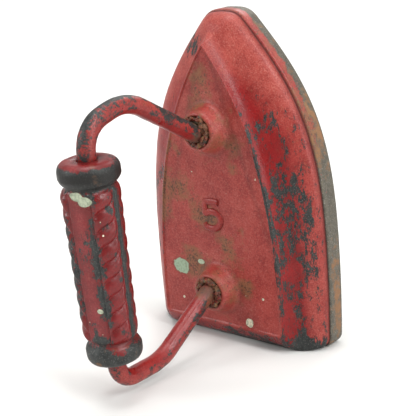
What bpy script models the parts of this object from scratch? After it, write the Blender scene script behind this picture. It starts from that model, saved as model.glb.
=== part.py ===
"""Cast sad iron (a solid flat iron) standing on its heel.

Frame: metres, +Z up towards the toe, +X across the width, the ironing face looking along +Y and the
handle standing out towards -Y. The origin is the centre of the overall box's underside.

Local names used below: "across" is x, "rise" is the height above the ironing face (so y = -rise
before the last shift) and "run" is the distance from the heel towards the toe (z).
"""

import math

import bmesh
import bpy
from mathutils import Vector

# ---------------------------------------------------------------- driving dimensions (metres)
FIT_GAP = 0.0003            # every two pieces that touch keep this gap
CUT_OVERSHOOT = 0.002       # how far a cutter runs past what it cuts

# body casting, plan view
SOLE_LENGTH = 0.182
SOLE_HALF_WIDTH = 0.0600
SOLE_TAPER_POWER = 4.8      # higher keeps the sides parallel for longer
SOLE_TOE_POWER = 1.57       # higher draws the sides in sooner towards the toe
SOLE_APEX_BEYOND = 0.0148   # the sides would meet this far past the blunt toe
NOSE_LENGTH = 0.0058        # length over which the toe is blunted
NOSE_POWER = 3.4            # 2 is a round nose, higher is flatter
PANEL_TAPER_POWER = 3.1
PANEL_TOE_POWER = 1.0       # 1 brings the two sides to a sharp apex
HEEL_NARROWING = 0.0012     # the sides draw in this much at the heel
WIDEST_RUN = 0.048          # distance of the widest place from the heel
SOLE_CORNER_RADIUS = 0.006
PANEL_CORNER_RADIUS = 0.0025

# body casting, section
EDGE_ROUND = 0.0014         # rounding of the ironing face's edge
BAND_HEIGHT = 0.0116        # the upright band above the ironing face
LEDGE_DEPTH = 0.0014        # step from the band in to the upper body
LEDGE_ROUND = 0.0012        # the band's upper edge starts to round this far below the ledge
FLANK_INSET = 0.0184        # from the band in to the top panel's rim, at the side
TOE_INSET = 0.0153          # the same at the toe
HEEL_BEVEL_RUN = 0.0095     # the same at the heel
HEEL_BEVEL_DROP = 0.0100
PANEL_RISE = 0.0319         # height of the top panel's rim above the ironing face
RIM_WIDTH = 0.0018
RIM_HEIGHT = 0.0005         # the rim stands this far above the panel

# bosses and sockets
FRONT_BOSS_RUN = 0.1218
REAR_BOSS_RUN = 0.0315
BOSS_HEIGHT = 0.0098
BOSS_FLARE = 0.0038         # the foot spreads this far past the waist
BOSS_DRAFT = 0.0022         # the top is this much smaller in radius than the waist
BOSS_RIM = 0.0034           # width of the rim round the socket's mouth
BOSS_EDGE_ROUND = 0.0016
BOSS_ROOT = 0.0040          # the boss starts this far below the panel, inside the body
SOCKET_ROOM = 0.0031        # the socket's mouth is this much larger in radius than the rod
SOCKET_UNDERCUT = 0.0008    # its floor is wider than its mouth, so the poured metal can't lift out
SOCKET_DEPTH = 0.0185

# handle bow: one round rod
ROD_RADIUS = 0.0047
ARM_SLOPE = math.radians(30)    # both arms lean outwards from the sockets by this much
TANG_SET_BACK = 0.0012          # each rod end sits this far off its socket's centre, away from the lean
SOCKET_BEND_RADIUS = 0.014
FRONT_SHOULDER_SLOPE = math.radians(-15)
FRONT_SHOULDER_RUN = 0.1496     # where the front arm's line meets the shoulder's line
FRONT_SHOULDER_BEND = 0.030
FRONT_KNUCKLE_BEND = 0.016
REAR_SHOULDER_BEND = 0.030
REAR_KNUCKLE_BEND = 0.011
SOCKET_FLOOR_CLEARANCE = 0.0015
BOW_STANDS_OFF = 0.0038         # the rear bend stays this far above the surface the heel stands on

# grip
GRIP_FRONT_RISE = 0.1204        # axis height above the ironing face at the front end
GRIP_REAR_RISE = 0.1156
GRIP_FRONT_RUN = 0.1269
GRIP_REAR_RUN = 0.0224
GRIP_FRONT_RADIUS = 0.0137
GRIP_REAR_RADIUS = 0.0125
GRIP_WALL = 0.0030
COLLAR_STEP = 0.0017            # the end collars stand out this far from the shell
COLLAR_LENGTH = 0.0105
COLLAR_DOME = 0.0050            # length over which each end rounds off
GROOVE_DEPTH = 0.0010
GROOVE_LENGTH = 0.0030
END_WALL = 0.0040
BORE_CHAMFER = 0.0020
GRIP_HOLE_CLEARANCE = 0.0008

# drive pins that tie both grip shells to the rod
PIN_INSET = 0.024               # distance of each pin from its end of the grip
PIN_RADIUS = 0.0018
PIN_HEAD_RADIUS = 0.0036
PIN_HEAD_HEIGHT = 0.0016
PIN_HEAD_EDGE = 0.0004      # bevel round the head
PIN_TIP_SHORT = 0.0008          # the pin ends this far short of its blind hole's floor
LUG_RADIUS = 0.0050

# poured metal in the sockets, and the wedge driven beside the front rod end
WEDGE_WIDTH = 0.0060
WEDGE_THICK_TOP = 0.0022
WEDGE_THICK_TIP = 0.0010
WEDGE_LENGTH = 0.0120
WEDGE_PROUD = 0.0012            # stands this far above the poured metal
FILL_RECESS = 0.0014            # the poured metal lies this far below the boss's top

# mesh fineness
SIDE_STEPS = 24
CORNER_STEPS = 5
HEEL_STEPS = 3
ROUND_STEPS = 40
ROD_STEPS = 20
BEND_STEPS_PER_TURN = 48
SHELL_STEPS = 20
DOME_STEPS = 5


# ---------------------------------------------------------------- helpers
def clear_scene():
    for old in list(bpy.data.objects):
        bpy.data.objects.remove(old)


def local(across, rise, run):
    """A point of the iron from its distance across, above the ironing face and from the heel."""
    return Vector((across, -rise, run))


def paint(name, colour, roughness, metallic):
    material = bpy.data.materials.new(name)
    material.use_nodes = True
    shader = material.node_tree.nodes["Principled BSDF"]
    shader.inputs["Base Color"].default_value = (*colour, 1.0)
    shader.inputs["Roughness"].default_value = roughness
    shader.inputs["Metallic"].default_value = metallic
    return material


def add_object(name, mesh, material=None):
    made = bpy.data.objects.new(name, mesh)
    bpy.context.scene.collection.objects.link(made)
    if material:
        mesh.materials.append(material)
    return made


def mesh_from(bm, name):
    bmesh.ops.recalc_face_normals(bm, faces=bm.faces)
    mesh = bpy.data.meshes.new(name)
    bm.to_mesh(mesh)
    bm.free()
    return mesh


def join_rings(bm, rings):
    """Skins a closed solid over rings of equally many points, with a flat face at each end."""
    loops = [[bm.verts.new(point) for point in ring] for ring in rings]
    for low, high in zip(loops, loops[1:]):
        for i in range(len(low)):
            j = (i + 1) % len(low)
            bm.faces.new((low[i], low[j], high[j], high[i]))
    bm.faces.new(loops[0][::-1])
    bm.faces.new(loops[-1])


def turned_solid(name, profile, centre, axis, steps=ROUND_STEPS):
    """A solid turned about axis through centre. profile holds (distance along the axis, radius)."""
    side = axis.orthogonal().normalized()
    other = axis.cross(side)
    rings = []
    for along, radius in profile:
        turns = (2 * math.pi * k / steps for k in range(steps))
        rings.append([centre + axis * along + (side * math.cos(t) + other * math.sin(t)) * radius
                      for t in turns])
    bm = bmesh.new()
    join_rings(bm, rings)
    return mesh_from(bm, name)


def cutter(name, mesh):
    made = add_object(name, mesh)
    made.hide_render = True
    made.display_type = "WIRE"
    return made


def boolean(target, tool, operation):
    step = target.modifiers.new(f"{operation.lower()}_{tool.name}", "BOOLEAN")
    step.operation = operation
    step.solver = "EXACT"
    step.object = tool


def shade(made, angle=35):
    made.data.shade_smooth()
    made.data.set_sharp_from_angle(angle=math.radians(angle))


# ---------------------------------------------------------------- body casting
def plan_ring(side_inset, heel_inset, rise):
    """One closed outline of the body: superellipse sides, a straight heel and rounded heel corners."""
    blend = min(side_inset / FLANK_INSET, 1.0)
    half = SOLE_HALF_WIDTH - side_inset
    tip = SOLE_LENGTH - side_inset / FLANK_INSET * TOE_INSET
    apex = tip + SOLE_APEX_BEYOND * (1 - blend)
    nose = max(NOSE_LENGTH * (1 - blend), FIT_GAP)
    taper = SOLE_TAPER_POWER + (PANEL_TAPER_POWER - SOLE_TAPER_POWER) * blend
    toe = SOLE_TOE_POWER + (PANEL_TOE_POWER - SOLE_TOE_POWER) * blend
    corner = SOLE_CORNER_RADIUS + (PANEL_CORNER_RADIUS - SOLE_CORNER_RADIUS) * blend
    narrowing = HEEL_NARROWING * (1 - blend)

    def half_width(run):
        drawn_in = narrowing * max(0.0, 1 - run / WIDEST_RUN) ** 2
        into_nose = max(0.0, (run - (tip - nose)) / nose)
        blunting = max(0.0, 1 - into_nose ** NOSE_POWER) ** (1 / NOSE_POWER)
        return (half - drawn_in) * (1 - (run / apex) ** taper) ** toe * blunting

    first = heel_inset + corner
    outline = []
    for k in range(SIDE_STEPS + 1):
        from_toe = (k / SIDE_STEPS) ** 2
        run = tip + (first - tip) * from_toe
        outline.append((half_width(run), run))
    centre = outline[-1][0] - corner
    for k in range(1, CORNER_STEPS + 1):
        turn = math.pi / 2 * k / CORNER_STEPS
        outline.append((centre + corner * math.cos(turn), first - corner * math.sin(turn)))
    for k in range(1, HEEL_STEPS + 1):
        outline.append((centre * (1 - k / HEEL_STEPS), heel_inset))
    right = [local(across, rise, run) for across, run in outline]
    left = [local(-across, rise, run) for across, run in outline[-2:0:-1]]
    return right + left


def flank_section():
    """(side inset, heel inset, rise) of each outline from the ironing face up to the panel."""
    shoulder_rise = PANEL_RISE - BAND_HEIGHT
    shoulder_run = FLANK_INSET - LEDGE_DEPTH
    section = [
        (EDGE_ROUND, EDGE_ROUND, 0.0),
        (EDGE_ROUND * 0.30, EDGE_ROUND * 0.30, EDGE_ROUND * 0.30),
        (0.0, 0.0, EDGE_ROUND),
        (0.0, 0.0, BAND_HEIGHT - LEDGE_ROUND),
        (LEDGE_DEPTH * 0.36, 0.0, BAND_HEIGHT - LEDGE_ROUND * 0.17),
        (LEDGE_DEPTH, 0.0, BAND_HEIGHT),
    ]
    # share of the way in from the ledge to the rim, and share of the way up: a rounded shoulder
    # that flattens, then a hollow that steepens up to the rim
    ogee = [(0.00, 0.10), (0.04, 0.19), (0.13, 0.30), (0.25, 0.395), (0.40, 0.48),
            (0.56, 0.55), (0.70, 0.615), (0.81, 0.70), (0.90, 0.80), (0.96, 0.90)]
    for inward, upward in ogee:
        rise = BAND_HEIGHT + shoulder_rise * upward
        bevel = max(0.0, (rise - (PANEL_RISE - HEEL_BEVEL_DROP)) / HEEL_BEVEL_DROP)
        section.append((LEDGE_DEPTH + shoulder_run * inward, HEEL_BEVEL_RUN * bevel ** 1.7, rise))
    section += [
        (FLANK_INSET, HEEL_BEVEL_RUN, PANEL_RISE - RIM_HEIGHT * 0.6),
        (FLANK_INSET + RIM_WIDTH / 3, HEEL_BEVEL_RUN + RIM_WIDTH / 3, PANEL_RISE),
        (FLANK_INSET + RIM_WIDTH, HEEL_BEVEL_RUN + RIM_WIDTH, PANEL_RISE - RIM_HEIGHT),
    ]
    return section


def boss_top():
    return PANEL_RISE - RIM_HEIGHT + BOSS_HEIGHT


def boss_solid(name, run):
    """A low cone with a flared foot and a rounded rim."""
    rim = ROD_RADIUS + SOCKET_ROOM + BOSS_RIM
    waist = rim + BOSS_DRAFT
    foot = waist + BOSS_FLARE
    top = boss_top()
    panel = top - BOSS_HEIGHT
    profile = [
        (panel - BOSS_ROOT, foot),
        (panel - BOSS_HEIGHT * 0.06, foot),
        (panel + BOSS_HEIGHT * 0.09, waist + BOSS_FLARE * 0.42),
        (panel + BOSS_HEIGHT * 0.31, waist),
        (top - BOSS_EDGE_ROUND, rim),
        (top - BOSS_EDGE_ROUND * 0.3, rim - BOSS_EDGE_ROUND * 0.3),
        (top, rim - BOSS_EDGE_ROUND),
    ]
    return turned_solid(name, profile, local(0, 0, run), local(0, 1, 0))


def socket_radius(rise):
    """The socket's radius at a height above the ironing face: it widens towards its floor."""
    down = (boss_top() - rise) / SOCKET_DEPTH
    return ROD_RADIUS + SOCKET_ROOM + SOCKET_UNDERCUT * down


def socket_plug(name, run, low, high, shrink=0.0):
    """The socket's space between two heights, made smaller all round by shrink."""
    profile = [(low, socket_radius(low) - shrink), (high, socket_radius(high) - shrink)]
    return turned_solid(name, profile, local(0, 0, run), local(0, 1, 0))


def make_body(material):
    bm = bmesh.new()
    join_rings(bm, [plan_ring(*station) for station in flank_section()])
    body = add_object("iron_body", mesh_from(bm, "iron_body"), material)
    floor = boss_top() - SOCKET_DEPTH
    for name, run in (("front", FRONT_BOSS_RUN), ("rear", REAR_BOSS_RUN)):
        boolean(body, cutter(f"{name}_boss_tool", boss_solid(f"{name}_boss", run)), "UNION")
        hole = socket_plug(f"{name}_socket", run, floor, boss_top() + CUT_OVERSHOOT)
        boolean(body, cutter(f"{name}_socket_tool", hole), "DIFFERENCE")
    shade(body)
    return body


# ---------------------------------------------------------------- handle bow
def grip_axis():
    """The grip's rear end, front end and unit direction from rear to front."""
    rear = local(0, GRIP_REAR_RISE, GRIP_REAR_RUN)
    front = local(0, GRIP_FRONT_RISE, GRIP_FRONT_RUN)
    return rear, front, (front - rear).normalized()


def meet(first, first_way, second, second_way):
    """Where two lines in the iron's centre plane cross."""
    gap = second - first
    cross = first_way.y * second_way.z - first_way.z * second_way.y
    return first + first_way * ((gap.y * second_way.z - gap.z * second_way.y) / cross)


def bow_corners():
    """The bow's bend points with their bend radii, from the front socket's floor to the rear's."""
    rear_end, front_end, way = grip_axis()
    tang_rise = boss_top() - SOCKET_DEPTH + SOCKET_FLOOR_CLEARANCE
    front_run = FRONT_BOSS_RUN - TANG_SET_BACK
    rear_run = REAR_BOSS_RUN + TANG_SET_BACK
    front_foot = local(0, boss_top(), front_run)
    rear_foot = local(0, boss_top(), rear_run)
    front_arm = local(0, math.cos(ARM_SLOPE), math.sin(ARM_SLOPE))
    rear_arm = local(0, math.cos(ARM_SLOPE), -math.sin(ARM_SLOPE))
    shoulder_way = local(0, math.cos(FRONT_SHOULDER_SLOPE), math.sin(FRONT_SHOULDER_SLOPE))
    along_arm = (FRONT_SHOULDER_RUN - front_run) / math.sin(ARM_SLOPE)
    front_shoulder = front_foot + front_arm * along_arm
    front_knuckle = meet(front_shoulder, shoulder_way, front_end, way)
    low_line = local(0, 0, BOW_STANDS_OFF + ROD_RADIUS)
    rear_shoulder = meet(rear_foot, rear_arm, low_line, local(0, 1, 0))
    rear_knuckle = meet(rear_end, way, low_line, local(0, 1, 0))
    return [
        (local(0, tang_rise, front_run), 0.0),
        (front_foot, SOCKET_BEND_RADIUS),
        (front_shoulder, FRONT_SHOULDER_BEND),
        (front_knuckle, FRONT_KNUCKLE_BEND),
        (rear_knuckle, REAR_KNUCKLE_BEND),
        (rear_shoulder, REAR_SHOULDER_BEND),
        (rear_foot, SOCKET_BEND_RADIUS),
        (local(0, tang_rise, rear_run), 0.0),
    ]


def bent_line(corners):
    """Straight runs joined by true arcs: each corner is rounded to its own bend radius."""
    line = [corners[0][0]]
    for (before, _), (corner, radius), (after, _) in zip(corners, corners[1:], corners[2:]):
        arriving = (corner - before).normalized()
        leaving = (after - corner).normalized()
        turn = arriving.angle(leaving)
        start = corner - arriving * radius * math.tan(turn / 2)
        inward = (leaving - arriving * leaving.dot(arriving)).normalized()
        centre = start + inward * radius
        steps = max(3, round(BEND_STEPS_PER_TURN * turn / (2 * math.pi)))
        for k in range(steps + 1):
            angle = turn * k / steps
            line.append(centre - inward * radius * math.cos(angle) + arriving * radius * math.sin(angle))
    line.append(corners[-1][0])
    return line


def rod_solid(name, line, radius):
    """A round rod along a line that lies in the iron's centre plane."""
    across = Vector((1, 0, 0))
    rings = []
    for i, point in enumerate(line):
        before = line[max(i - 1, 0)]
        after = line[min(i + 1, len(line) - 1)]
        out = (after - before).normalized().cross(across)
        turns = (2 * math.pi * k / ROD_STEPS for k in range(ROD_STEPS))
        rings.append([point + (out * math.cos(t) + across * math.sin(t)) * radius for t in turns])
    bm = bmesh.new()
    join_rings(bm, rings)
    return mesh_from(bm, name)


def pin_stations():
    """Name and centre on the grip's axis of each drive pin."""
    rear, front, way = grip_axis()
    return [("front", front - way * PIN_INSET), ("rear", rear + way * PIN_INSET)]


def palm_way():
    """Unit direction from the grip's axis out to the palm side, square to the axis."""
    return Vector((1, 0, 0)).cross(grip_axis()[2])


def make_bow(material, line):
    bow = add_object("handle_bow", rod_solid("handle_bow", line, ROD_RADIUS), material)
    for name, centre in pin_stations():
        reach = ROD_RADIUS + CUT_OVERSHOOT
        way_radius = PIN_RADIUS + FIT_GAP
        drilled = [(-reach, way_radius), (reach, way_radius)]
        hole = turned_solid(f"{name}_pin_way", drilled, centre, palm_way(), ROD_STEPS)
        boolean(bow, cutter(f"{name}_rod_drill", hole), "DIFFERENCE")
    shade(bow)
    return bow


# ---------------------------------------------------------------- grip shells
def end_profile(radius):
    """(distance from one end of the grip, radius) over its domed collar and the groove behind it."""
    collar = radius + COLLAR_STEP
    points = [(0.0, ROD_RADIUS + GRIP_HOLE_CLEARANCE)]
    for k in range(DOME_STEPS + 1):
        turn = math.pi / 2 * k / DOME_STEPS
        points.append((COLLAR_DOME * (1 - math.cos(turn)), collar - COLLAR_DOME * (1 - math.sin(turn))))
    return points + [
        (COLLAR_LENGTH - GROOVE_LENGTH / 2, collar),
        (COLLAR_LENGTH, radius - GROOVE_DEPTH * 0.3),
        (COLLAR_LENGTH + GROOVE_LENGTH / 2, radius - GROOVE_DEPTH),
        (COLLAR_LENGTH + GROOVE_LENGTH, radius),
    ]


def grip_profile():
    """(distance from the rear end, radius) round the shell's wall: out along the outside, back inside."""
    rear, front, _ = grip_axis()
    length = (front - rear).length
    hole = ROD_RADIUS + GRIP_HOLE_CLEARANCE
    outside = end_profile(GRIP_REAR_RADIUS)
    outside += [(length - along, radius) for along, radius in reversed(end_profile(GRIP_FRONT_RADIUS))]
    front_bore = GRIP_FRONT_RADIUS - GRIP_WALL
    rear_bore = GRIP_REAR_RADIUS - GRIP_WALL
    inside = [
        (length - END_WALL, hole),
        (length - END_WALL, front_bore - BORE_CHAMFER),
        (length - END_WALL - BORE_CHAMFER, front_bore),
        (END_WALL + BORE_CHAMFER, rear_bore),
        (END_WALL, rear_bore - BORE_CHAMFER),
        (END_WALL, hole),
    ]
    return outside + inside


def half_shell(name, facing):
    """Half a turned shell: its wall profile swept half a turn about the grip's axis."""
    rear, _, way = grip_axis()
    across = way.cross(facing)
    bm = bmesh.new()
    rings = []
    for k in range(SHELL_STEPS + 1):
        turn = math.pi * (k / SHELL_STEPS - 0.5)
        out = facing * math.cos(turn) + across * math.sin(turn)
        rings.append([rear + way * along + out * radius for along, radius in grip_profile()])
    loops = [[bm.verts.new(point + facing * FIT_GAP / 2) for point in ring] for ring in rings]
    count = len(loops[0])
    for low, high in zip(loops, loops[1:]):
        for i in range(count):
            j = (i + 1) % count
            bm.faces.new((low[i], low[j], high[j], high[i]))
    bm.faces.new(loops[0][::-1])
    bm.faces.new(loops[-1])
    return mesh_from(bm, name)


def grip_radius(centre):
    """The shell's outer radius at a point of the grip's axis: it tapers from front to rear."""
    rear, front, _ = grip_axis()
    share = (centre - rear).length / (front - rear).length
    return GRIP_REAR_RADIUS + (GRIP_FRONT_RADIUS - GRIP_REAR_RADIUS) * share


def lug_span(centre):
    """How far a lug runs from the grip's axis: from just off the rod to inside the shell's wall."""
    return ROD_RADIUS + FIT_GAP, grip_radius(centre) - GRIP_WALL * 0.6


def pin_reach(centre):
    """The pin's ends as distances from the grip's axis: its tip on the palm side, its head's outer face."""
    tip = ROD_RADIUS + (lug_span(centre)[1] - ROD_RADIUS) * 0.75
    head = grip_radius(centre) - FIT_GAP
    return tip, head


def make_shell(name, facing, material, is_palm):
    shell = add_object(name, half_shell(name, facing), material)
    for place, centre in pin_stations():
        tip, head = pin_reach(centre)
        near, far = lug_span(centre)
        lug = turned_solid("lug", [(near, LUG_RADIUS), (far, LUG_RADIUS)], centre, facing, ROD_STEPS)
        boolean(shell, cutter(f"{name}_{place}_lug_tool", lug), "UNION")
        way_radius = PIN_RADIUS + FIT_GAP
        if is_palm:
            drilled = [(near - CUT_OVERSHOOT, way_radius), (tip + PIN_TIP_SHORT, way_radius)]
        else:
            seat = head - PIN_HEAD_HEIGHT - FIT_GAP
            drilled = [
                (near - CUT_OVERSHOOT, way_radius),
                (seat - FIT_GAP, way_radius),
                (seat, PIN_HEAD_RADIUS + FIT_GAP),
                (head + CUT_OVERSHOOT, PIN_HEAD_RADIUS + FIT_GAP),
            ]
        hole = turned_solid("drill", drilled, centre, facing, ROD_STEPS)
        boolean(shell, cutter(f"{name}_{place}_drill", hole), "DIFFERENCE")
    shade(shell)
    return shell


def make_pins(material):
    """One headed drive pin at each station, driven in from the finger side."""
    pins = []
    for place, centre in pin_stations():
        tip, head = pin_reach(centre)
        shoulder = head - PIN_HEAD_HEIGHT
        profile = [
            (-tip, PIN_RADIUS * 0.7),
            (-tip + PIN_RADIUS * 0.6, PIN_RADIUS),
            (shoulder, PIN_RADIUS),
            (shoulder + PIN_HEAD_EDGE / 2, PIN_HEAD_RADIUS),
            (head - PIN_HEAD_EDGE, PIN_HEAD_RADIUS),
            (head, PIN_HEAD_RADIUS - PIN_HEAD_EDGE),
        ]
        mesh = turned_solid(f"grip_{place}_pin", profile, centre, -palm_way(), ROD_STEPS)
        pin = add_object(f"grip_{place}_pin", mesh, material)
        shade(pin)
        pins.append(pin)
    return pins


# ---------------------------------------------------------------- socket filling and wedges
def wedge_section(rise, near, far, half):
    return [
        local(-half, rise, near),
        local(half, rise, near),
        local(half, rise, far),
        local(-half, rise, far),
    ]


def wedge_levels():
    """(rise, near face, far face) at the wedge's tip and top; its near face leans along with the rod."""
    top = boss_top() - FILL_RECESS + WEDGE_PROUD
    beside_rod = FRONT_BOSS_RUN - TANG_SET_BACK + ROD_RADIUS + FIT_GAP
    half_bend = math.cos(ARM_SLOPE / 2)
    lean = ROD_RADIUS * (1 / half_bend - 1) + SOCKET_BEND_RADIUS * (1 - half_bend)
    return [
        (top - WEDGE_LENGTH, beside_rod, beside_rod + WEDGE_THICK_TIP),
        (top, beside_rod + lean, beside_rod + lean + WEDGE_THICK_TOP),
    ]


def wedge_solid():
    """The tapered plate driven in on the toe side of the front rod end."""
    bm = bmesh.new()
    join_rings(bm, [wedge_section(*level, WEDGE_WIDTH / 2) for level in wedge_levels()])
    return mesh_from(bm, "front_wedge")


def wedge_room():
    """The wedge's space in the poured metal, opened towards the rod so that no thin web stays between."""
    (tip, tip_near, tip_far), (top, top_near, top_far) = wedge_levels()
    half = WEDGE_WIDTH / 2 + FIT_GAP
    bm = bmesh.new()
    join_rings(bm, [
        wedge_section(tip - FIT_GAP, tip_near - ROD_RADIUS, tip_far + FIT_GAP, half),
        wedge_section(top + CUT_OVERSHOOT, top_near - ROD_RADIUS, top_far + FIT_GAP * 2, half),
    ])
    return mesh_from(bm, "wedge_room")


def make_socket_fill(place, run, bow_line, material, has_wedge):
    """The metal poured round one rod end."""
    low = boss_top() - SOCKET_DEPTH + FIT_GAP
    high = boss_top() - FILL_RECESS
    plug = socket_plug(f"{place}_socket_fill", run, low, high, FIT_GAP)
    fill = add_object(f"{place}_socket_fill", plug, material)
    room = rod_solid(f"{place}_rod_room", bow_line, ROD_RADIUS + FIT_GAP)
    boolean(fill, cutter(f"{place}_rod_room_tool", room), "DIFFERENCE")
    if has_wedge:
        boolean(fill, cutter("wedge_room_tool", wedge_room()), "DIFFERENCE")
    shade(fill)
    return fill


# ---------------------------------------------------------------- the assembly
def stand_on_origin(parts):
    """Hangs every piece on one empty and moves it until the overall box stands centred on the origin."""
    stand = bpy.data.objects.new("iron_stand", None)
    bpy.context.scene.collection.objects.link(stand)
    for made in bpy.data.objects:
        if made is not stand:
            made.parent = stand
    bpy.context.view_layer.update()
    depsgraph = bpy.context.evaluated_depsgraph_get()
    corners = []
    for part in parts:
        shown = part.evaluated_get(depsgraph)
        corners += [shown.matrix_world @ vertex.co for vertex in shown.data.vertices]
    low = Vector([min(c[i] for c in corners) for i in range(3)])
    high = Vector([max(c[i] for c in corners) for i in range(3)])
    stand.location = (-(low.x + high.x) / 2, -(low.y + high.y) / 2, -low.z)
    bpy.context.view_layer.update()
    print("overall size, mm:", [round((high[i] - low[i]) * 1000, 2) for i in range(3)])
    print("sole plane y, mm:", round(stand.location.y * 1000, 3))


def main():
    clear_scene()
    red = paint("red_enamel", (0.42, 0.035, 0.035), 0.45, 0.0)
    lead = paint("poured_metal", (0.16, 0.13, 0.11), 0.7, 0.6)
    iron = paint("wrought_iron", (0.12, 0.11, 0.10), 0.6, 0.8)
    line = bent_line(bow_corners())
    parts = [make_body(red), make_bow(red, line)]
    parts.append(make_shell("grip_palm_shell", palm_way(), red, True))
    parts.append(make_shell("grip_finger_shell", -palm_way(), red, False))
    parts += make_pins(iron)
    parts.append(make_socket_fill("front", FRONT_BOSS_RUN, line, lead, True))
    parts.append(make_socket_fill("rear", REAR_BOSS_RUN, line, lead, False))
    wedge = add_object("front_wedge", wedge_solid(), iron)
    shade(wedge)
    parts.append(wedge)
    stand_on_origin(parts)


main()
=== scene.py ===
# %% [markdown]
# # A painted cast iron clothes iron, standing on its heel
# An old "sad" iron is a solid casting with a bent rod for a handle. This notebook lays its looks
# over the plain model: rough castings, poured sockets, a pressed grip, and red paint that has
# worn through to the metal. Lengths are in metres. Heights are measured up from the ironing face
# and runs from the heel.

import math

import bmesh
import bpy
import numpy as np
from mathutils import Matrix, Vector, noise


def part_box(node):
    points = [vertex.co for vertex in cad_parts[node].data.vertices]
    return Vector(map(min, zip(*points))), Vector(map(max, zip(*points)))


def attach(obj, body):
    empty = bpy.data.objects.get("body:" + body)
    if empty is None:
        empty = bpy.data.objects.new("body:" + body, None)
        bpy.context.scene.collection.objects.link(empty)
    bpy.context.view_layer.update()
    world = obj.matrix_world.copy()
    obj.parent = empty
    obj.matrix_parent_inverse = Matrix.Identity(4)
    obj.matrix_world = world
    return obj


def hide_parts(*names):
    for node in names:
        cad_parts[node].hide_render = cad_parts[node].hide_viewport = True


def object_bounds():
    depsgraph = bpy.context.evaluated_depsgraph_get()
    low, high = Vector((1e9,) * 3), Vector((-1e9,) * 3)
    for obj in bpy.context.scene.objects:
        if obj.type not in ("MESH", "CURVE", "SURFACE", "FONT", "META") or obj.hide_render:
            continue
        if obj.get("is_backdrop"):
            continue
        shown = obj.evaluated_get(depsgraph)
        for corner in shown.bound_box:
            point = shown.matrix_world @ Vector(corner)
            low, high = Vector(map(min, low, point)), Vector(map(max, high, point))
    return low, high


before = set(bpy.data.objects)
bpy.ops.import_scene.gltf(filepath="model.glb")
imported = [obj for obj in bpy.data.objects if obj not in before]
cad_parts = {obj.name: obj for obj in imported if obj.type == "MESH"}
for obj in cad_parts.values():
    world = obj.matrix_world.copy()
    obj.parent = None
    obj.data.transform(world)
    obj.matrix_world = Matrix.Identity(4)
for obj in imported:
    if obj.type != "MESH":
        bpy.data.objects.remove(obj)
cad_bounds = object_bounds()
print("nodes:", sorted(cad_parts))

# %% [markdown]
# ## Sizes taken from the plain model
# The ironing face, the overall length and the two sockets are read back from the model's own
# boxes. Nothing that is built here can then drift away from the part that it dresses. The
# sections between those are the pattern maker's choices: how wide the toe is, how the flank
# curves, how far the rim stands up.

# %% Sizes
MM = 0.001
body_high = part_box("iron_body")[1]
front_low, front_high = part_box("front_socket_fill")
rear_low, rear_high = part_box("rear_socket_fill")
rod_low, rod_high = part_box("handle_bow")
FACE_Y = body_high.y
LENGTH = body_high.z
FRONT_RUN = (front_low.z + front_high.z) / 2
REAR_RUN = (rear_low.z + rear_high.z) / 2
ROD_RADIUS = (rod_high.x - rod_low.x) / 2
HALF_WIDTH = 60.0 * MM
EDGE_ROUND = 1.4 * MM
BAND_HEIGHT = 11.6 * MM
LEDGE_DEPTH = 1.4 * MM
FLANK_INSET = 18.4 * MM
TOE_INSET = 15.3 * MM
APEX_BEYOND = 14.8 * MM
NOSE_LENGTH = 5.8 * MM
BEVEL_RUN = 9.5 * MM
BEVEL_DROP = 10.0 * MM
PANEL_RISE = 31.9 * MM
RIM_HEIGHT = 0.6 * MM
PANEL_LEVEL = PANEL_RISE - RIM_HEIGHT
BOSS_TOP = 41.2 * MM
SHOULDER_SHARE = 0.49
print("length %.1f mm, rod %.1f mm" % (LENGTH / MM, 2 * ROD_RADIUS / MM))


def place(across, rise, run):
    """Points of the iron from their distance across, above the ironing face and from the heel."""
    return np.stack(np.broadcast_arrays(across, FACE_Y - np.asarray(rise), run), axis=-1).astype(float)


def bump(distance, reach):
    """1 at no distance, falling smoothly to 0 at the reach and beyond."""
    share = np.clip(1 - np.abs(distance) / reach, 0, 1)
    return share * share * (3 - 2 * share)


def ramp(value, start, end):
    """0 before start, 1 past end, smooth between; start may be the larger."""
    share = np.clip((value - start) / (end - start), 0, 1)
    return share * share * (3 - 2 * share)


def lumps(points, size, seed):
    """Soft noise from -1 to 1 with lumps of about the given size."""
    shift = Vector((seed * 7.31, seed * 3.17, seed * 5.73))
    return np.array([noise.noise(Vector(point) / size + shift) for point in points])


def smooth_path(points, steps):
    """A Catmull-Rom line through the points, with that many steps from each to the next."""
    points = np.asarray(points, float)
    padded = np.vstack([2 * points[0] - points[1], points, 2 * points[-1] - points[-2]])
    line = []
    for a, b, c, d in zip(padded, padded[1:], padded[2:], padded[3:]):
        for t in np.arange(steps) / steps:
            line.append(0.5 * (2 * b + (c - a) * t + (2 * a - 5 * b + 4 * c - d) * t * t
                               + (3 * b - a - 3 * c + d) * t ** 3))
    return np.array(line + [points[-1]])


def new_object(name, data):
    """An object of that data, in the scene."""
    made = bpy.data.objects.new(name, data)
    bpy.context.scene.collection.objects.link(made)
    return made


def evaluated_mesh(piece):
    """A plain mesh of the piece with its modifiers applied."""
    bpy.context.view_layer.update()
    shaped = piece.evaluated_get(bpy.context.evaluated_depsgraph_get())
    return bpy.data.meshes.new_from_object(shaped)


def set_marks(piece, **marks):
    """Stores each value, or array of values, as a float attribute on the piece's points."""
    attributes = piece.data.attributes
    for name, values in marks.items():
        mark = attributes.get(name) or attributes.new(name, "FLOAT", "POINT")
        mark.data.foreach_set("value", np.broadcast_to(values, len(mark.data)).astype(np.float32))


def read_floats(rows, key, width=1):
    flat = np.empty(len(rows) * width, np.float32)
    rows.foreach_get(key, flat)
    return flat.astype(float)


def get_mark(piece, name):
    return read_floats(piece.data.attributes[name].data, "value")


def points_of(piece):
    return read_floats(piece.data.vertices, "co", 3).reshape(-1, 3)


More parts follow.
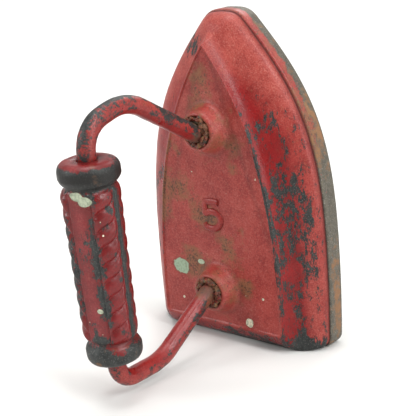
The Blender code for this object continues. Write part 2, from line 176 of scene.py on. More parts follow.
def normals_of(piece):
    return read_floats(piece.data.vertex_normals, "vector", 3).reshape(-1, 3)


def set_points(piece, points):
    piece.data.vertices.foreach_set("co", np.asarray(points, np.float32).ravel())
    piece.data.update()


def push_out(piece, swell):
    """Moves each point of the piece along its normal by the swell, in millimetres."""
    set_points(piece, points_of(piece) + normals_of(piece) * np.asarray(swell)[:, None] * MM)


def make_piece(name, points, faces, **marks):
    """A named object of points and faces, with its marks."""
    mesh = bpy.data.meshes.new(name)
    mesh.from_pydata([tuple(point) for point in points], [], [tuple(face) for face in faces])
    mesh.shade_smooth()
    made = new_object(name, mesh)
    set_marks(made, **marks)
    return made


def face_out(piece):
    bm = bmesh.new()
    bm.from_mesh(piece.data)
    bmesh.ops.recalc_face_normals(bm, faces=bm.faces)
    bm.to_mesh(piece.data)
    bm.free()


def report(piece):
    print("%s: %d points, %d faces" % (piece.name, len(piece.data.vertices), len(piece.data.polygons)))


# %% [markdown]
# ## The body casting
# The body was cast face down in sand, so every face has draft: a short upright band above the
# ironing face, a small ledge, a rounded shoulder that turns into a hollow, and a thin raised rim
# round a flat panel. It could be lofted from a few sections with a subdivision surface, but the
# outline changes its law from the face to the panel, so here the outlines are calculated and
# stacked. The same law gives the plain model its faces.

# %% Body: outlines and section
SIDE_POINTS = 230
CORNER_POINTS = 6
HEEL_POINTS = 56
FLANK_STEPS = 4
OGEE = [(0.00, 0.10), (0.04, 0.19), (0.13, 0.30), (0.25, 0.395), (0.40, 0.48),
        (0.56, 0.55), (0.70, 0.615), (0.81, 0.70), (0.90, 0.80), (0.96, 0.90)]


def outline(side_inset, heel_inset):
    """(across, run) of the right half of one outline, from the toe round to the middle of the heel."""
    blend = min(side_inset / FLANK_INSET, 1.0)
    half = HALF_WIDTH - side_inset
    tip = LENGTH - side_inset / FLANK_INSET * TOE_INSET
    apex = tip + APEX_BEYOND * (1 - blend)
    nose = max(NOSE_LENGTH * (1 - blend), 0.3 * MM)
    taper = 4.8 - 1.7 * blend
    toe = 1.57 - 0.57 * blend
    corner = (6.0 - 3.5 * blend) * MM
    narrowing = 1.2 * MM * (1 - blend)
    first = heel_inset + corner

    def half_width(run):
        drawn_in = narrowing * np.clip(1 - run / (48 * MM), 0, None) ** 2
        into_nose = np.clip((run - (tip - nose)) / nose, 0, None)
        blunting = np.clip(1 - into_nose ** 3.4, 0, None) ** (1 / 3.4)
        return (half - drawn_in) * np.clip(1 - (run / apex) ** taper, 0, None) ** toe * blunting

    fine = tip + (first - tip) * np.linspace(0, 1, 3000) ** 2
    wide = half_width(fine)
    along = np.concatenate([[0], np.cumsum(np.hypot(np.diff(fine), np.diff(wide)))])
    even = np.linspace(0, along[-1], SIDE_POINTS)
    across = np.interp(even, along, wide)
    run = np.interp(even, along, fine)
    across[0] = 0.0
    centre = across[-1] - corner
    turn = np.pi / 2 * np.arange(1, CORNER_POINTS + 1) / CORNER_POINTS
    heel = centre * (1 - np.arange(1, HEEL_POINTS + 1) / HEEL_POINTS)
    across = np.concatenate([across, centre + corner * np.cos(turn), heel])
    run = np.concatenate([run, first - corner * np.sin(turn), np.full(HEEL_POINTS, heel_inset)])
    return across, run


def body_section():
    """(side inset, heel inset, rise, place on the section) from the ironing face up to the panel."""
    stations = []
    for k in range(5):
        turn = math.pi / 2 * k / 4
        inset = EDGE_ROUND * (1 - math.sin(turn))
        stations.append((inset, inset, EDGE_ROUND * (1 - math.cos(turn)), -2.0))
    for k in range(1, 13):
        stations.append((0.0, 0.0, EDGE_ROUND + (BAND_HEIGHT - 1.0 * MM - EDGE_ROUND) * k / 12, -1.0))
    stations += [(0.2 * MM, 0.1 * MM, BAND_HEIGHT - 0.45 * MM, -1.0),
                 (0.7 * MM, 0.3 * MM, BAND_HEIGHT - 0.15 * MM, -0.5),
                 (1.3 * MM, 0.5 * MM, BAND_HEIGHT - 0.25 * MM, -0.3),
                 (1.5 * MM, 0.4 * MM, BAND_HEIGHT + 0.3 * MM, -0.1)]
    rising = smooth_path(OGEE + [(1.0, 0.985)], FLANK_STEPS)
    for inward, upward in rising:
        rise = BAND_HEIGHT + (PANEL_RISE - BAND_HEIGHT) * upward
        bevel = max(0.0, (rise - (PANEL_RISE - BEVEL_DROP)) / BEVEL_DROP)
        side = LEDGE_DEPTH + (FLANK_INSET - LEDGE_DEPTH) * inward
        slope = 1 - SHOULDER_SHARE * inward - (1 - SHOULDER_SHARE) * upward
        stations.append((side, BEVEL_RUN * bevel ** 1.7, rise, 1.0 - slope))
    for inset, drop in ((0.35, 0.03), (0.75, 0.0), (1.15, 0.10), (1.45, 0.35), (1.8, 0.6)):
        stations.append((FLANK_INSET + inset * MM, BEVEL_RUN + inset * MM, PANEL_RISE - drop * MM, 1.5))
    return stations


def body_mesh():
    """Points and faces of the body with open panel holes closed by turned bosses and their sockets."""
    stations = body_section()
    points, level, faces = [], [], []
    ring_size = 2 * (SIDE_POINTS + CORNER_POINTS + HEEL_POINTS - 1)
    for side_inset, heel_inset, rise, mark in stations:
        across, run = outline(side_inset, heel_inset)
        across = np.concatenate([across, -across[-2:0:-1]])
        run = np.concatenate([run, run[-2:0:-1]])
        points.append(place(across, rise, run))
        level.append(np.full(ring_size, mark))
    for ring in range(len(stations) - 1):
        low = ring * ring_size
        for i in range(ring_size):
            j = (i + 1) % ring_size
            faces.append((low + i, low + j, low + ring_size + j, low + ring_size + i))
    faces.append(tuple(range(ring_size))[::-1])
    points = np.concatenate(points)
    level = np.concatenate(level)
    last = (len(stations) - 1) * ring_size
    rows = SIDE_POINTS + CORNER_POINTS
    columns = 2 * HEEL_POINTS + 1
    grid = np.zeros((rows, columns), int)
    inner = []
    for row in range(rows):
        right = last + row
        left = last + (ring_size - row) % ring_size
        if row == 0:
            grid[row] = right
        elif row == rows - 1:
            grid[row] = last + np.arange(row, row + columns)
        else:
            share = np.arange(1, columns - 1)[:, None] / (columns - 1)
            start = len(points) + len(inner) * (columns - 2)
            inner.append(points[right] * (1 - share) + points[left] * share)
            grid[row, 0], grid[row, -1] = right, left
            grid[row, 1:-1] = start + np.arange(columns - 2)
    inner = np.concatenate(inner)
    points = np.concatenate([points, inner])
    level = np.concatenate([level, np.full(len(inner), 2.0)])
    cells = []
    for row in range(rows - 1):
        for column in range(columns - 1):
            a, b = grid[row, column], grid[row, column + 1]
            d, c = grid[row + 1, column], grid[row + 1, column + 1]
            cells.append((b, c, d) if row == 0 else (a, b, c, d))
    for name, centre_run in (("front", FRONT_RUN), ("rear", REAR_RUN)):
        points, level, cells, added = raise_boss(points, level, cells, centre_run)
        faces += added
    return points, level, faces + cells


BOSS_PROFILE = [
    (15.6, 0.05), (14.9, 0.20), (14.2, 0.50), (13.6, 1.0), (13.0, 1.8), (12.5, 2.9), (12.1, 4.1),
    (11.75, 5.4), (11.4, 6.7), (11.0, 7.9), (10.7, 8.7), (10.3, 9.3), (9.8, 9.7), (9.2, 9.8),
    (8.7, 9.65), (8.3, 9.3), (8.0, 8.7), (7.8, 8.0), (7.8, 7.0), (8.1, 2.0), (8.6, -8.7),
    (5.0, -8.7), (2.0, -8.7),
]
BOSS_FOOT = 16.0 * MM


def raise_boss(points, level, cells, centre_run):
    """Opens the panel round one socket, then turns a boss up from the edge and down into it."""
    centre = place(0.0, PANEL_LEVEL, centre_run)
    flat = points - centre
    away = np.hypot(flat[:, 0], flat[:, 2])
    kept, opened = [], []
    for cell in cells:
        (opened if away[list(cell)].max() < BOSS_FOOT else kept).append(cell)
    edges = {}
    for cell in opened:
        for a, b in zip(cell, cell[1:] + cell[:1]):
            if (b, a) in edges:
                del edges[(b, a)]
            else:
                edges[(a, b)] = True
    follow = {a: b for a, b in edges}
    start = next(iter(follow))
    loop = [start]
    while follow[loop[-1]] != start:
        loop.append(follow[loop[-1]])
    angle = np.unwrap(np.arctan2(flat[loop, 2], flat[loop, 0]))
    way = 1.0 if angle[-1] > angle[0] else -1.0
    for _ in range(12):
        before = np.roll(angle, 1)
        after = np.roll(angle, -1)
        before[0] -= way * 2 * math.pi
        after[-1] += way * 2 * math.pi
        angle = 0.5 * angle + 0.25 * (before + after)
    points = points.copy()
    side, along = np.cos(angle), np.sin(angle)
    points[loop] = place(side * BOSS_FOOT, PANEL_LEVEL, centre_run + along * BOSS_FOOT)
    faces = []
    previous = np.array(loop)
    fresh, fresh_level = [], []
    count = len(loop)
    for k, (radius, height) in enumerate(BOSS_PROFILE):
        rough = 0.0
        if 5 < radius < 12 and height > 0:
            places = np.stack([side, along, np.full(count, k * 0.08)], axis=1)
            rough = 0.16 * lumps(places, 0.35, 3 + centre_run)
        fresh.append(place(side * (radius + rough) * MM, PANEL_LEVEL + (height + rough * 0.6) * MM,
                           centre_run + along * (radius + rough) * MM))
        fresh_level.append(np.full(count, 3.0 + max(height, 0.0) / 10))
        current = len(points) + k * count + np.arange(count)
        for i in range(count):
            j = (i + 1) % count
            faces.append((previous[i], previous[j], current[j], current[i]))
        previous = current
    middle = len(points) + len(BOSS_PROFILE) * count
    faces += [(previous[i], previous[(i + 1) % count], middle) for i in range(count)]
    fresh.append(place([0.0], PANEL_LEVEL - 8.7 * MM, centre_run))
    fresh_level.append([3.0])
    points = np.concatenate([points] + fresh)
    return points, np.concatenate([level] + fresh_level), kept, faces


body_points, body_level, body_faces = body_mesh()
body = make_piece("cast_body", body_points, body_faces, Level=body_level)
face_out(body)
report(body)

# %% [markdown]
# ## An uneven casting
# Sand never leaves a true face. The pattern's flats come out slightly wavy, with a finer texture
# over them that paint does not hide. Moving the points themselves, rather than only shading them,
# lets the waves break up the reflections and the edges too. The ironing face is left flat: it was
# ground.

# %% Body: waves in the surface
PITS = [(17.3, 66.1, 2.3), (-22.9, 105.3, 2.0), (-25.2, 136.9, 1.6), (8.0, 98.0, 1.0), (29.0, 52.0, 1.3),
        (-33.0, 60.0, 1.2), (3.0, 131.0, 1.0)]
points = points_of(body)
across, run = points[:, 0] / MM, points[:, 2] / MM
softness = ramp(body_level, -1.6, -0.2) * 0.6 + 0.4 * (body_level > -1.9)
swell = 0.13 * lumps(points, 14 * MM, 1) + 0.06 * lumps(points, 4.5 * MM, 2)
swell += 0.035 * lumps(points, 1.7 * MM, 3)
swell *= softness * (body_level > -1.95)
on_panel = (body_level > 1.2) & (body_level < 3.05)
for pit_across, pit_run, size in PITS:
    swell -= on_panel * 0.45 * bump(np.hypot(across - pit_across, run - pit_run), size)
push_out(body, swell)

# %% [markdown]
# ## Where the paint went
# Handling and stacking wore the paint through on the rim, on the shoulder and at the heel's
# corners, while the hollow kept most of it. Each point gets a mark for wear, one for rust, one for
# dirt and painted shade, and one for faded paint and painted light. The finish reads these and
# breaks them up with noise, so the borders stay crisp and ragged at any distance.

# %% Body: marks for wear, rust and dirt
# (share of the flank down from the rim, run in mm, half height, half length, amount) of each worn
# patch
FLANK_WEAR = [
    (0.20, 141, 0.10, 6, 0.22), (0.50, 135, 0.12, 9, 0.26), (0.27, 123, 0.08, 7, 0.28),
    (0.57, 113, 0.05, 15, 0.26), (0.30, 92, 0.16, 12, 0.24), (0.52, 88, 0.20, 12, 0.30),
    (0.28, 80, 0.14, 14, 0.34), (0.66, 76, 0.13, 15, 0.38), (0.36, 66, 0.14, 12, 0.24),
    (0.20, 60, 0.10, 12, 0.28), (0.70, 58, 0.12, 14, 0.38), (0.62, 46, 0.13, 9, 0.36),
    (0.24, 38, 0.08, 8, 0.30), (0.38, 27, 0.10, 7, 0.32), (0.48, 12, 0.10, 11, 0.42),
    (0.80, 30, 0.06, 16, 0.14), (0.35, 4, 0.50, 5, 0.42), (0.90, 3, 0.25, 6, 0.40),
]
# (across, run, reach, amount) of each rusty place on the panel
PANEL_RUST = [
    (0.0, 121.8, 30, 0.45), (17.6, 112.8, 10, 0.55), (-8.0, 128.0, 14, 0.30), (0.0, 31.5, 28, 0.45),
    (-18.0, 44.0, 17, 0.75), (19.0, 34.0, 10, 0.65), (-10.0, 73.0, 15, 0.70),
    (-1.0, 72.0, 11, 0.55), (3.9, 59.8, 12, 0.50), (-20.0, 88.0, 16, 0.45), (17.3, 66.1, 6, 0.50),
    (-33.0, 85.0, 18, 0.55), (12.0, 52.0, 16, 0.35), (-4.0, 148.0, 18, 0.55),
    (14.0, 101.0, 10, 0.4), (-36.0, 70.0, 10, 0.6), (-30.0, 110.0, 12, 0.5), (-22.9, 105.3, 5, 0.5),
]
# (across, run, half width, half height, tone) of each paint chip: tone 0 is pale green, 1 is cream
CHIPS = [(-27.4, 39.5, 6.3, 4.9, 0.0), (-12.6, 44.4, 2.6, 1.6, 0.25), (19.2, 14.1, 3.0, 2.7, 1.0),
         (-27.5, 20.7, 0.9, 0.9, 1.0), (29.6, 29.9, 0.9, 0.8, 1.0), (18.0, 29.8, 0.4, 0.7, 0.7),
         (5.5, 27.5, 1.0, 0.9, 0.8), (-14.0, 96.5, 0.7, 0.4, 1.0), (29.5, 97.0, 0.4, 0.9, 1.0),
         (9.0, 87.0, 0.4, 0.4, 1.0)]
HEEL_CORNERS = 14       # mm from the heel within which the flank may be bare all over
MOST_WORN = 0.52        # the most wear elsewhere on the flank


def chip_field(across, run, chips):
    """How deep inside a chip each point lies (1 at its middle, 0 at its edge), and its tone."""
    field = np.full(len(across), -1.0)
    tone = np.zeros(len(across))
    for chip_across, chip_run, wide, high, chip_tone in chips:
        inside = 1 - np.hypot((across - chip_across) / wide, (run - chip_run) / high)
        tone = np.where(inside > field, chip_tone, tone)
        field = np.maximum(field, inside)
    return field, tone


near_side = np.where(across < 0, 0.0, 1.0)
down = 1 - np.clip(body_level, 0, 1)
flank = (body_level > -0.05) & (body_level <= 1.0)
ridge = (body_level > 0.94) & (body_level < 1.7)
top = body_level > 1.2
band = (body_level < -0.4) & (body_level > -2.5)
band_rise = (FACE_Y - points[:, 1]) / BAND_HEIGHT

wear = 0.16 + 0.20 * flank * ramp(run, 150, 120) * (0.3 + 0.7 * near_side)
for patch_down, patch_run, high, long, amount in FLANK_WEAR:
    there = bump(down - patch_down, high * 1.6) * bump(run - patch_run, long * 1.6)
    wear += flank * 0.66 * amount * there * (0.7 + 0.3 * near_side)
worn_ridge = 0.05 + 0.16 * ramp(run, 132, 96) * ramp(run, 4, 44) + 0.20 * bump(run - 80, 34)
wear += ridge * worn_ridge * (0.35 + 0.65 * near_side)
wear += 0.60 * bump(across + 17, 15) * bump(run - 165, 13) * flank * ramp(down, 0.1, 0.5)
on_step = (body_level > 1.4) & (body_level < 1.6)
wear += 0.25 * ramp(run, 3.0, 0.6) + 0.12 * on_step + 0.05 * (body_level > 3.0)
wear = np.where(flank & (run > HEEL_CORNERS), np.minimum(wear, MOST_WORN), wear)
band_wear = 0.74 - 0.42 * ramp(run, 85, 150) * ramp(band_rise, 0.35, 0.75) + 0.15 * ramp(band_rise, 0.4, 0.1)
wear = np.where(band, band_wear + 0.10 * ramp(run, 60, 20), wear)

rust = np.full(len(points), 0.10)
for spot_across, spot_run, reach, amount in PANEL_RUST:
    rust += top * amount * 1.05 * bump(np.hypot(across - spot_across, run - spot_run), reach)
rust += ridge * (1 - near_side) * 0.35 * bump(run - 90, 40)
band_rust = 0.40 + 0.32 * bump(run - 120, 26) - 0.14 * bump(run - 76, 26)
band_rust += 0.34 * bump(run - 30, 34) * ramp(band_rise, 0.9, 0.5)
rust = np.where(band, band_rust, rust) * (1 - 0.8 * (body_level < -1.95))
rust = np.where(top, rust, rust + 0.05 * (body_level > -0.4))

# Painted light in the fade mark: painted shade as deeper red in the hollow, and painted highlights as paler
# red towards the toe and in a strip low on the shoulder; elsewhere it is faded, chalky paint.
hollow = flank * bump(down - 0.26, 0.62) * ramp(run, 168, 130)
fade_and_painted_light = np.where(top, 0.62, 0.66) - 0.85 * hollow
fade_and_painted_light += 0.55 * flank * ramp(run, 115, 155) * ramp(down, 0.05, 0.5)
fade_and_painted_light += 0.35 * flank * bump(down - 0.66, 0.26) * ramp(run, 100, 40) + 0.15 * lumps(points, 16 * MM, 6)
# Painted shade: a dark line along the ledge and at the foot of the flank, where the step casts its shadow.
dirt_and_shade = 1.2 * bump(body_level + 0.28, 0.30) + 0.35 * bump(down - 1.0, 0.10) * flank
# Darker round each boss's foot and down inside its mouth, and paler chalky red in a ring round it.
for centre in (FRONT_RUN / MM, REAR_RUN / MM):
    foot = np.hypot(across, run - centre)
    dirt_and_shade += 0.25 * top * bump(foot - 14.8, 2.2) + 1.0 * (body_level > 3.4) * ramp(foot, 9.2, 7.9)
    fade_and_painted_light += 0.45 * top * bump(np.hypot(across + 3, run - centre - 3) - 15, 6)
# A darker line on the panel just inside the rim.
panel_edge = np.interp(run, [0, 10, 48, 165], [20, 41, 41, 2])
dirt_and_shade += 0.25 * (body_level == 2.0) * bump(np.abs(panel_edge - np.abs(across)), 3)
chip, tone = chip_field(across, run, CHIPS)
chip = np.where(top & (body_level < 3.2), chip, -1.0)
set_marks(body, Wear=wear, Rust=rust, Dirt=np.clip(dirt_and_shade, 0, 1), Chip=chip, Tone=tone,
          Faded=np.clip(fade_and_painted_light, 0, 1.1))

# %% [markdown]
# ## Pieces that follow a path
# The bow is one round bar bent hot round formers, and the raised figure was carved on the pattern
# as a round-backed bead. Both are a round section carried along a line, so one Geometry Nodes
# tree makes both: it turns the line into a curve, sweeps a circle along it and closes the ends.

# %% Tree that sweeps a round section along a line


def feed(tree, socket, value):
    """Gives a node's input a link from a socket or a constant. None leaves it as it is."""
    if isinstance(value, bpy.types.NodeSocket):
        tree.links.new(value, socket)
    elif value is not None:
        socket.default_value = value


def put(tree, kind, *values, **settings):
    """A new node with these settings. The values go to its inputs in order."""
    node = tree.nodes.new(kind)
    for name, value in settings.items():
        setattr(node, name, value)
    for socket, value in zip(node.inputs, values):
        feed(tree, socket, value)
    return node


def maths(tree, operation, *values):
    return put(tree, "ShaderNodeMath", *values, operation=operation).outputs[0]


def times(tree, *values):
    return maths(tree, "MULTIPLY", *values)


def plus(tree, *values):
    return maths(tree, "ADD", *values)


def minus(tree, *values):
    return maths(tree, "SUBTRACT", *values)


def swing(tree, value, amount):
    """A noise value turned into one that swings about nothing, by half the amount either way."""
    return times(tree, minus(tree, value, 0.5), amount)


def spread(tree, value, low, high, to_low=0.0, to_high=1.0, **settings):
    return put(tree, "ShaderNodeMapRange", value, low, high, to_low, to_high, **settings).outputs[0]


def start_tree(name, inputs):
    """A Geometry Nodes tree with the named inputs, and its input node."""
    tree = bpy.data.node_groups.new(name, "GeometryNodeTree")
    tree.interface.new_socket("Geometry", in_out="INPUT", socket_type="NodeSocketGeometry")
    for label, kind, value in inputs:
        socket = tree.interface.new_socket(label, in_out="INPUT", socket_type=f"NodeSocket{kind}")
        socket.default_value = value
    tree.interface.new_socket("Material", in_out="INPUT", socket_type="NodeSocketMaterial")
    tree.interface.new_socket("Geometry", in_out="OUTPUT", socket_type="NodeSocketGeometry")
    return tree, put(tree, "NodeGroupInput")


def end_tree(tree, made, given):
    """Ends a tree in Realize Instances and Set Material."""
    real = put(tree, "GeometryNodeRealizeInstances", made)
    finished = put(tree, "GeometryNodeSetMaterial", real.outputs[0], None, given.outputs["Material"])
    put(tree, "NodeGroupOutput", finished.outputs[0])
    return tree


def worked(piece, tree, values, name):
    """The piece after a tree with these input values, as a plain mesh in a new object of that name."""
    modifier = piece.modifiers.new("work", "NODES")
    modifier.node_group = tree
    for item in tree.interface.items_tree:
        if item.in_out == "INPUT" and item.name in values:
            modifier[item.identifier] = values[item.name]
    mesh = evaluated_mesh(piece)
    bpy.data.objects.remove(piece)
    mesh.name = name
    mesh.shade_smooth()
    return new_object(name, mesh)


def sweep_tree():
    tree, given = start_tree("Swept round bar", [("Radius", "Float", 0.005), ("Sides", "Int", 32)])
    curve = put(tree, "GeometryNodeMeshToCurve", given.outputs["Geometry"])
    circle = put(tree, "GeometryNodeCurvePrimitiveCircle", given.outputs["Sides"])
    tree.links.new(given.outputs["Radius"], circle.inputs["Radius"])
    swept = put(tree, "GeometryNodeCurveToMesh", curve.outputs[0], circle.outputs[0])
    swept.inputs["Fill Caps"].default_value = True
    return end_tree(tree, swept.outputs[0], given)


SWEEP = sweep_tree()


def line_object(line):
    mesh = bpy.data.meshes.new("line")
    mesh.from_pydata([tuple(point) for point in line], [(i, i + 1) for i in range(len(line) - 1)], [])
    return new_object("line", mesh)


# %% [markdown]
# ## The handle bow
# The bar is 9.4 mm thick, close to 3/8 inch. It leaves the front socket at a slope, turns over
# two bends into the grip's axis, comes out at the rear, bends tightly and runs back into the rear
# socket. The centre line is laid out from straight lines with a bend radius at each corner, the
# way a smith marks a bar.

# %% Bow: centre line and bar
ARM_SLOPE = math.radians(30)
FRONT_SHOULDER_SLOPE = math.radians(-15)
TANG_SET_BACK = 1.2 * MM
SHOULDER_RUN = 149.6 * MM
BOW_STANDS_OFF = 3.8 * MM
TANG_DEPTH = 17.0 * MM
GRIP_REAR = np.array([0.0, FACE_Y - 115.6 * MM, 22.4 * MM])
GRIP_FRONT = np.array([0.0, FACE_Y - 120.4 * MM, 126.9 * MM])
GRIP_LENGTH = float(np.linalg.norm(GRIP_FRONT - GRIP_REAR))
GRIP_WAY = (GRIP_FRONT - GRIP_REAR) / GRIP_LENGTH
PALM_WAY = np.cross([1.0, 0.0, 0.0], GRIP_WAY)
ACROSS_WAY = np.array([1.0, 0.0, 0.0])
GRIP_TURN = math.radians(13)
TURNED_PALM = PALM_WAY * math.cos(GRIP_TURN) + ACROSS_WAY * math.sin(GRIP_TURN)
BOW_SIDES = 40


def crossing(first, first_way, second, second_way):
    """Where two lines in the iron's centre plane cross."""
    gap = second - first
    cross = first_way[1] * second_way[2] - first_way[2] * second_way[1]
    return first + first_way * ((gap[1] * second_way[2] - gap[2] * second_way[1]) / cross)


def slope_way(angle):
    return np.array([0.0, -math.cos(angle), math.sin(angle)])


def bow_line(spacing=0.6 * MM):
    front_foot = place(0, BOSS_TOP, FRONT_RUN - TANG_SET_BACK)
    rear_foot = place(0, BOSS_TOP, REAR_RUN + TANG_SET_BACK)
    climb = (SHOULDER_RUN - front_foot[2]) / math.sin(ARM_SLOPE)
    front_shoulder = front_foot + slope_way(ARM_SLOPE) * climb
    front_knuckle = crossing(front_shoulder, slope_way(FRONT_SHOULDER_SLOPE), GRIP_FRONT, GRIP_WAY)
    low = np.array([0.0, 0.0, BOW_STANDS_OFF + ROD_RADIUS])
    rear_shoulder = crossing(rear_foot, slope_way(-ARM_SLOPE), low, slope_way(0))
    rear_knuckle = crossing(GRIP_REAR, GRIP_WAY, low, slope_way(0))
    corners = [(place(0, BOSS_TOP - TANG_DEPTH, FRONT_RUN - TANG_SET_BACK), 0.0), (front_foot, 14 * MM),
               (front_shoulder, 30 * MM), (front_knuckle, 16 * MM), (rear_knuckle, 11 * MM),
               (rear_shoulder, 30 * MM), (rear_foot, 14 * MM),
               (place(0, BOSS_TOP - TANG_DEPTH, REAR_RUN + TANG_SET_BACK), 0.0)]
    line = [corners[0][0]]
    for (before, _), (corner, radius), (after, _) in zip(corners, corners[1:], corners[2:]):
        arriving = (corner - before) / np.linalg.norm(corner - before)
        leaving = (after - corner) / np.linalg.norm(after - corner)
        turn = math.acos(float(np.clip(arriving @ leaving, -1, 1)))
        start = corner - arriving * radius * math.tan(turn / 2)
        inward = leaving - arriving * (leaving @ arriving)
        inward /= np.linalg.norm(inward)
        for angle in np.linspace(0, turn, 24):
            line.append(start + inward * radius * (1 - math.cos(angle)) + arriving * radius * math.sin(angle))
    line = np.array(line + [corners[-1][0]])
    along = np.concatenate([[0], np.cumsum(np.linalg.norm(np.diff(line, axis=0), axis=1))])
    even = np.linspace(0, along[-1], int(along[-1] / spacing) + 1)
    return np.stack([np.interp(even, along, line[:, k]) for k in range(3)], axis=1), even


bow_path, bow_along = bow_line()
bow = worked(line_object(bow_path), SWEEP, {"Radius": ROD_RADIUS, "Sides": BOW_SIDES}, "bent_rod")
points = points_of(bow)
nearest = np.array([int(np.argmin(((bow_path - point) ** 2).sum(axis=1))) for point in points])
heading = np.gradient(bow_path, axis=0)
heading /= np.linalg.norm(heading, axis=1)[:, None]
outward = np.cross(heading, ACROSS_WAY)[nearest]
offset = points - bow_path[nearest]
bow_outer = np.degrees(np.arctan2(offset @ ACROSS_WAY, (offset * outward).sum(axis=1)))
bow_run = bow_along[nearest] / MM
print("bow: %.0f mm of bar, outer side %.1f to %.1f" % (bow_along[-1] / MM, bow_outer.min(), bow_outer.max()))
swell = 0.16 * lumps(points, 16 * MM, 11) + 0.09 * lumps(points, 5 * MM, 12)
swell += 0.04 * lumps(points, 1.8 * MM, 13)
swell += 0.30 * bump(bow_outer - 112, 11) - 0.16 * bump(bow_outer - 128, 10)
swell += 0.30 * bump(bow_outer + 112, 11) - 0.16 * bump(bow_outer + 128, 10)
from_line = offset / np.linalg.norm(offset, axis=1)[:, None]
set_points(bow, points + from_line * swell[:, None] * MM)
report(bow)

# %% [markdown]
# The bar lost its paint where it rubs against other things: on the outside of its bends, along
# its lower edge near the front socket and under the rear bend. Worn places run along the bar
# rather than round it.

# %% Bow: marks
total = bow_along[-1] / MM
outside = bump(bow_outer, 80)
wear = 0.40 + 0.08 * outside + 0.10 * lumps(points, 14 * MM, 15)
wear += 0.20 * outside * bump(bow_run - 78, 42)
wear += 0.26 * bump(bow_run - 30, 24) * bump(np.abs(bow_outer) - 45, 60)
wear += 0.22 * bump(bow_run - 48, 9) * bump(bow_outer - 60, 60)
wear += 0.22 * outside * bump(bow_run - (total - 62), 40)
wear += 0.16 * bump(bow_run - (total - 34), 22) * bump(bow_outer - 60, 70)
wear -= 0.16 * bump(np.abs(bow_outer) - 150, 45)
wear += 0.14 * bump(bow_outer - 112, 10)
rust = 0.16 + 0.5 * ramp(bow_run, 30, 20) + 0.5 * ramp(bow_run, total - 32, total - 22)
dirt_and_shade = 0.8 * ramp(bow_run, 27, 19) + 0.6 * ramp(bow_run, total - 27, total - 20)
bow_chips = [(62.0, 2.5, 3.2, 1.6, 0.9), (total - 45, 11.5, 1.0, 0.7, 1.0)]
chip, tone = chip_field(bow_run, bow_outer / 6, bow_chips)
fade_and_painted_light = 0.15 + 0.35 * bump(bow_outer - 60, 60) + 0.15 * lumps(points, 10 * MM, 14)
set_marks(bow, Wear=wear, Rust=rust, Dirt=np.clip(dirt_and_shade, 0, 1), Chip=chip, Tone=tone,
          Faded=np.clip(fade_and_painted_light, 0, 1))

# %% [markdown]
# ## The raised figure
# Irons were sold by size, and the pattern carried a figure for it in the middle of the panel.
# Here it is a plain size figure of no particular maker, a 5, swept by the same tree and then
# pressed flat.

# %% Figure
FIGURE_CENTRE = (-2.0, 73.2)
FIGURE_SPREAD = (1.35, 1.12)
FIGURE_LEAN = math.radians(4)
FIGURE_HEIGHT = 1.1
FIGURE_RADIUS = 1.9
FIGURE_STROKES = [(3.9, 6.3), (0.6, 6.9), (-2.6, 6.3), (-3.1, 3.6), (-3.3, 0.9), (-1.0, 1.7), (1.6, 1.3),
                  (3.9, -0.6), (4.1, -3.6), (2.0, -6.3), (-0.9, -6.9), (-3.5, -5.9), (-4.3, -4.2)]


def figure_line():
    flat = smooth_path(FIGURE_STROKES, 7)
    cosine, sine = math.cos(FIGURE_LEAN), math.sin(FIGURE_LEAN)
    lean = np.array([[cosine, -sine], [sine, cosine]])
    flat = flat * np.array(FIGURE_SPREAD) @ lean.T + np.array(FIGURE_CENTRE)
    return place(flat[:, 0] * MM, PANEL_LEVEL, flat[:, 1] * MM)


figure_values = {"Radius": FIGURE_RADIUS * MM, "Sides": 16}
figure = worked(line_object(figure_line()), SWEEP, figure_values, "raised_figure")
points = points_of(figure)
height = FACE_Y - PANEL_LEVEL - points[:, 1]
points[:, 1] = FACE_Y - PANEL_LEVEL - height * np.where(height > 0, FIGURE_HEIGHT / FIGURE_RADIUS, 0.4)
points += 0.12 * MM * lumps(points, 2.2 * MM, 21)[:, None]
set_points(figure, points)
set_marks(figure, Wear=0.16 + 0.06 * lumps(points, 4 * MM, 22), Faded=0.35, Chip=-1.0,
          Rust=0.10 + 0.30 * ramp(-points[:, 0] / MM, 1, 7), Dirt=0.55 * ramp(height / MM, 0.50, 0.0))
report(figure)

# %% [markdown]
# ## The grip shells
# The grip is a pair of pressed or cast half shells over the rod, with a domed collar and a groove
# at each end, and a raised seam where the halves meet. Each half is a section swept half a turn.
# The palm half has a flattened strip along its middle. The pair is turned a little about the rod.

# %% Grip: shells
COLLAR_STEP = 1.7
COLLAR_DOME = 5.0
FACET_ANGLE = 26.0
RIM_ANGLE = 82.0
SHELL_TURNS = 150
SHELL_ALONG = 250
WALL = 3.0
HOLE = ROD_RADIUS / MM + 0.8
SEAM_GAP = 0.03
REAR_RADIUS = 12.5
FRONT_RADIUS = 13.7


def end_radius(distance, radius):
    """Radius over one end of the grip: a domed collar, then a groove, then the shell."""
    collar = radius + COLLAR_STEP
    rise = 1 - np.clip(distance / COLLAR_DOME, 0, 1)
    dome = collar - COLLAR_DOME * (1 - np.sqrt(np.clip(1 - rise ** 2, 0, 1)))
    lip = ramp(distance, 11.8, 7.2)
    groove = 1.15 * bump(distance - 12.2, 2.4)
    return (radius - groove) * (1 - lip) + dome * lip


def shell_radius(along):
    """Outer radius in mm at a distance in mm from the grip's rear end."""
    length = GRIP_LENGTH / MM
    radius = REAR_RADIUS + (FRONT_RADIUS - REAR_RADIUS) * along / length
    rear = end_radius(along, REAR_RADIUS) + (radius - REAR_RADIUS) * ramp(along, 10, 16)
    front = end_radius(length - along, FRONT_RADIUS) + (radius - FRONT_RADIUS) * ramp(length - along, 10, 16)
    return np.where(along < length / 2, rear, front)


def shell_stations():
    """Distances along the grip, closer together over the collars, and their radii."""
    length = GRIP_LENGTH / MM
    dome = COLLAR_DOME * (1 - np.cos(np.linspace(0, np.pi / 2, 14)))
    ends = np.concatenate([dome, np.linspace(5.2, 16, 34)])
    middle = np.linspace(16.4, length - 16.4, SHELL_ALONG - 2 * len(ends))
    return np.concatenate([ends, middle, length - ends[::-1]])


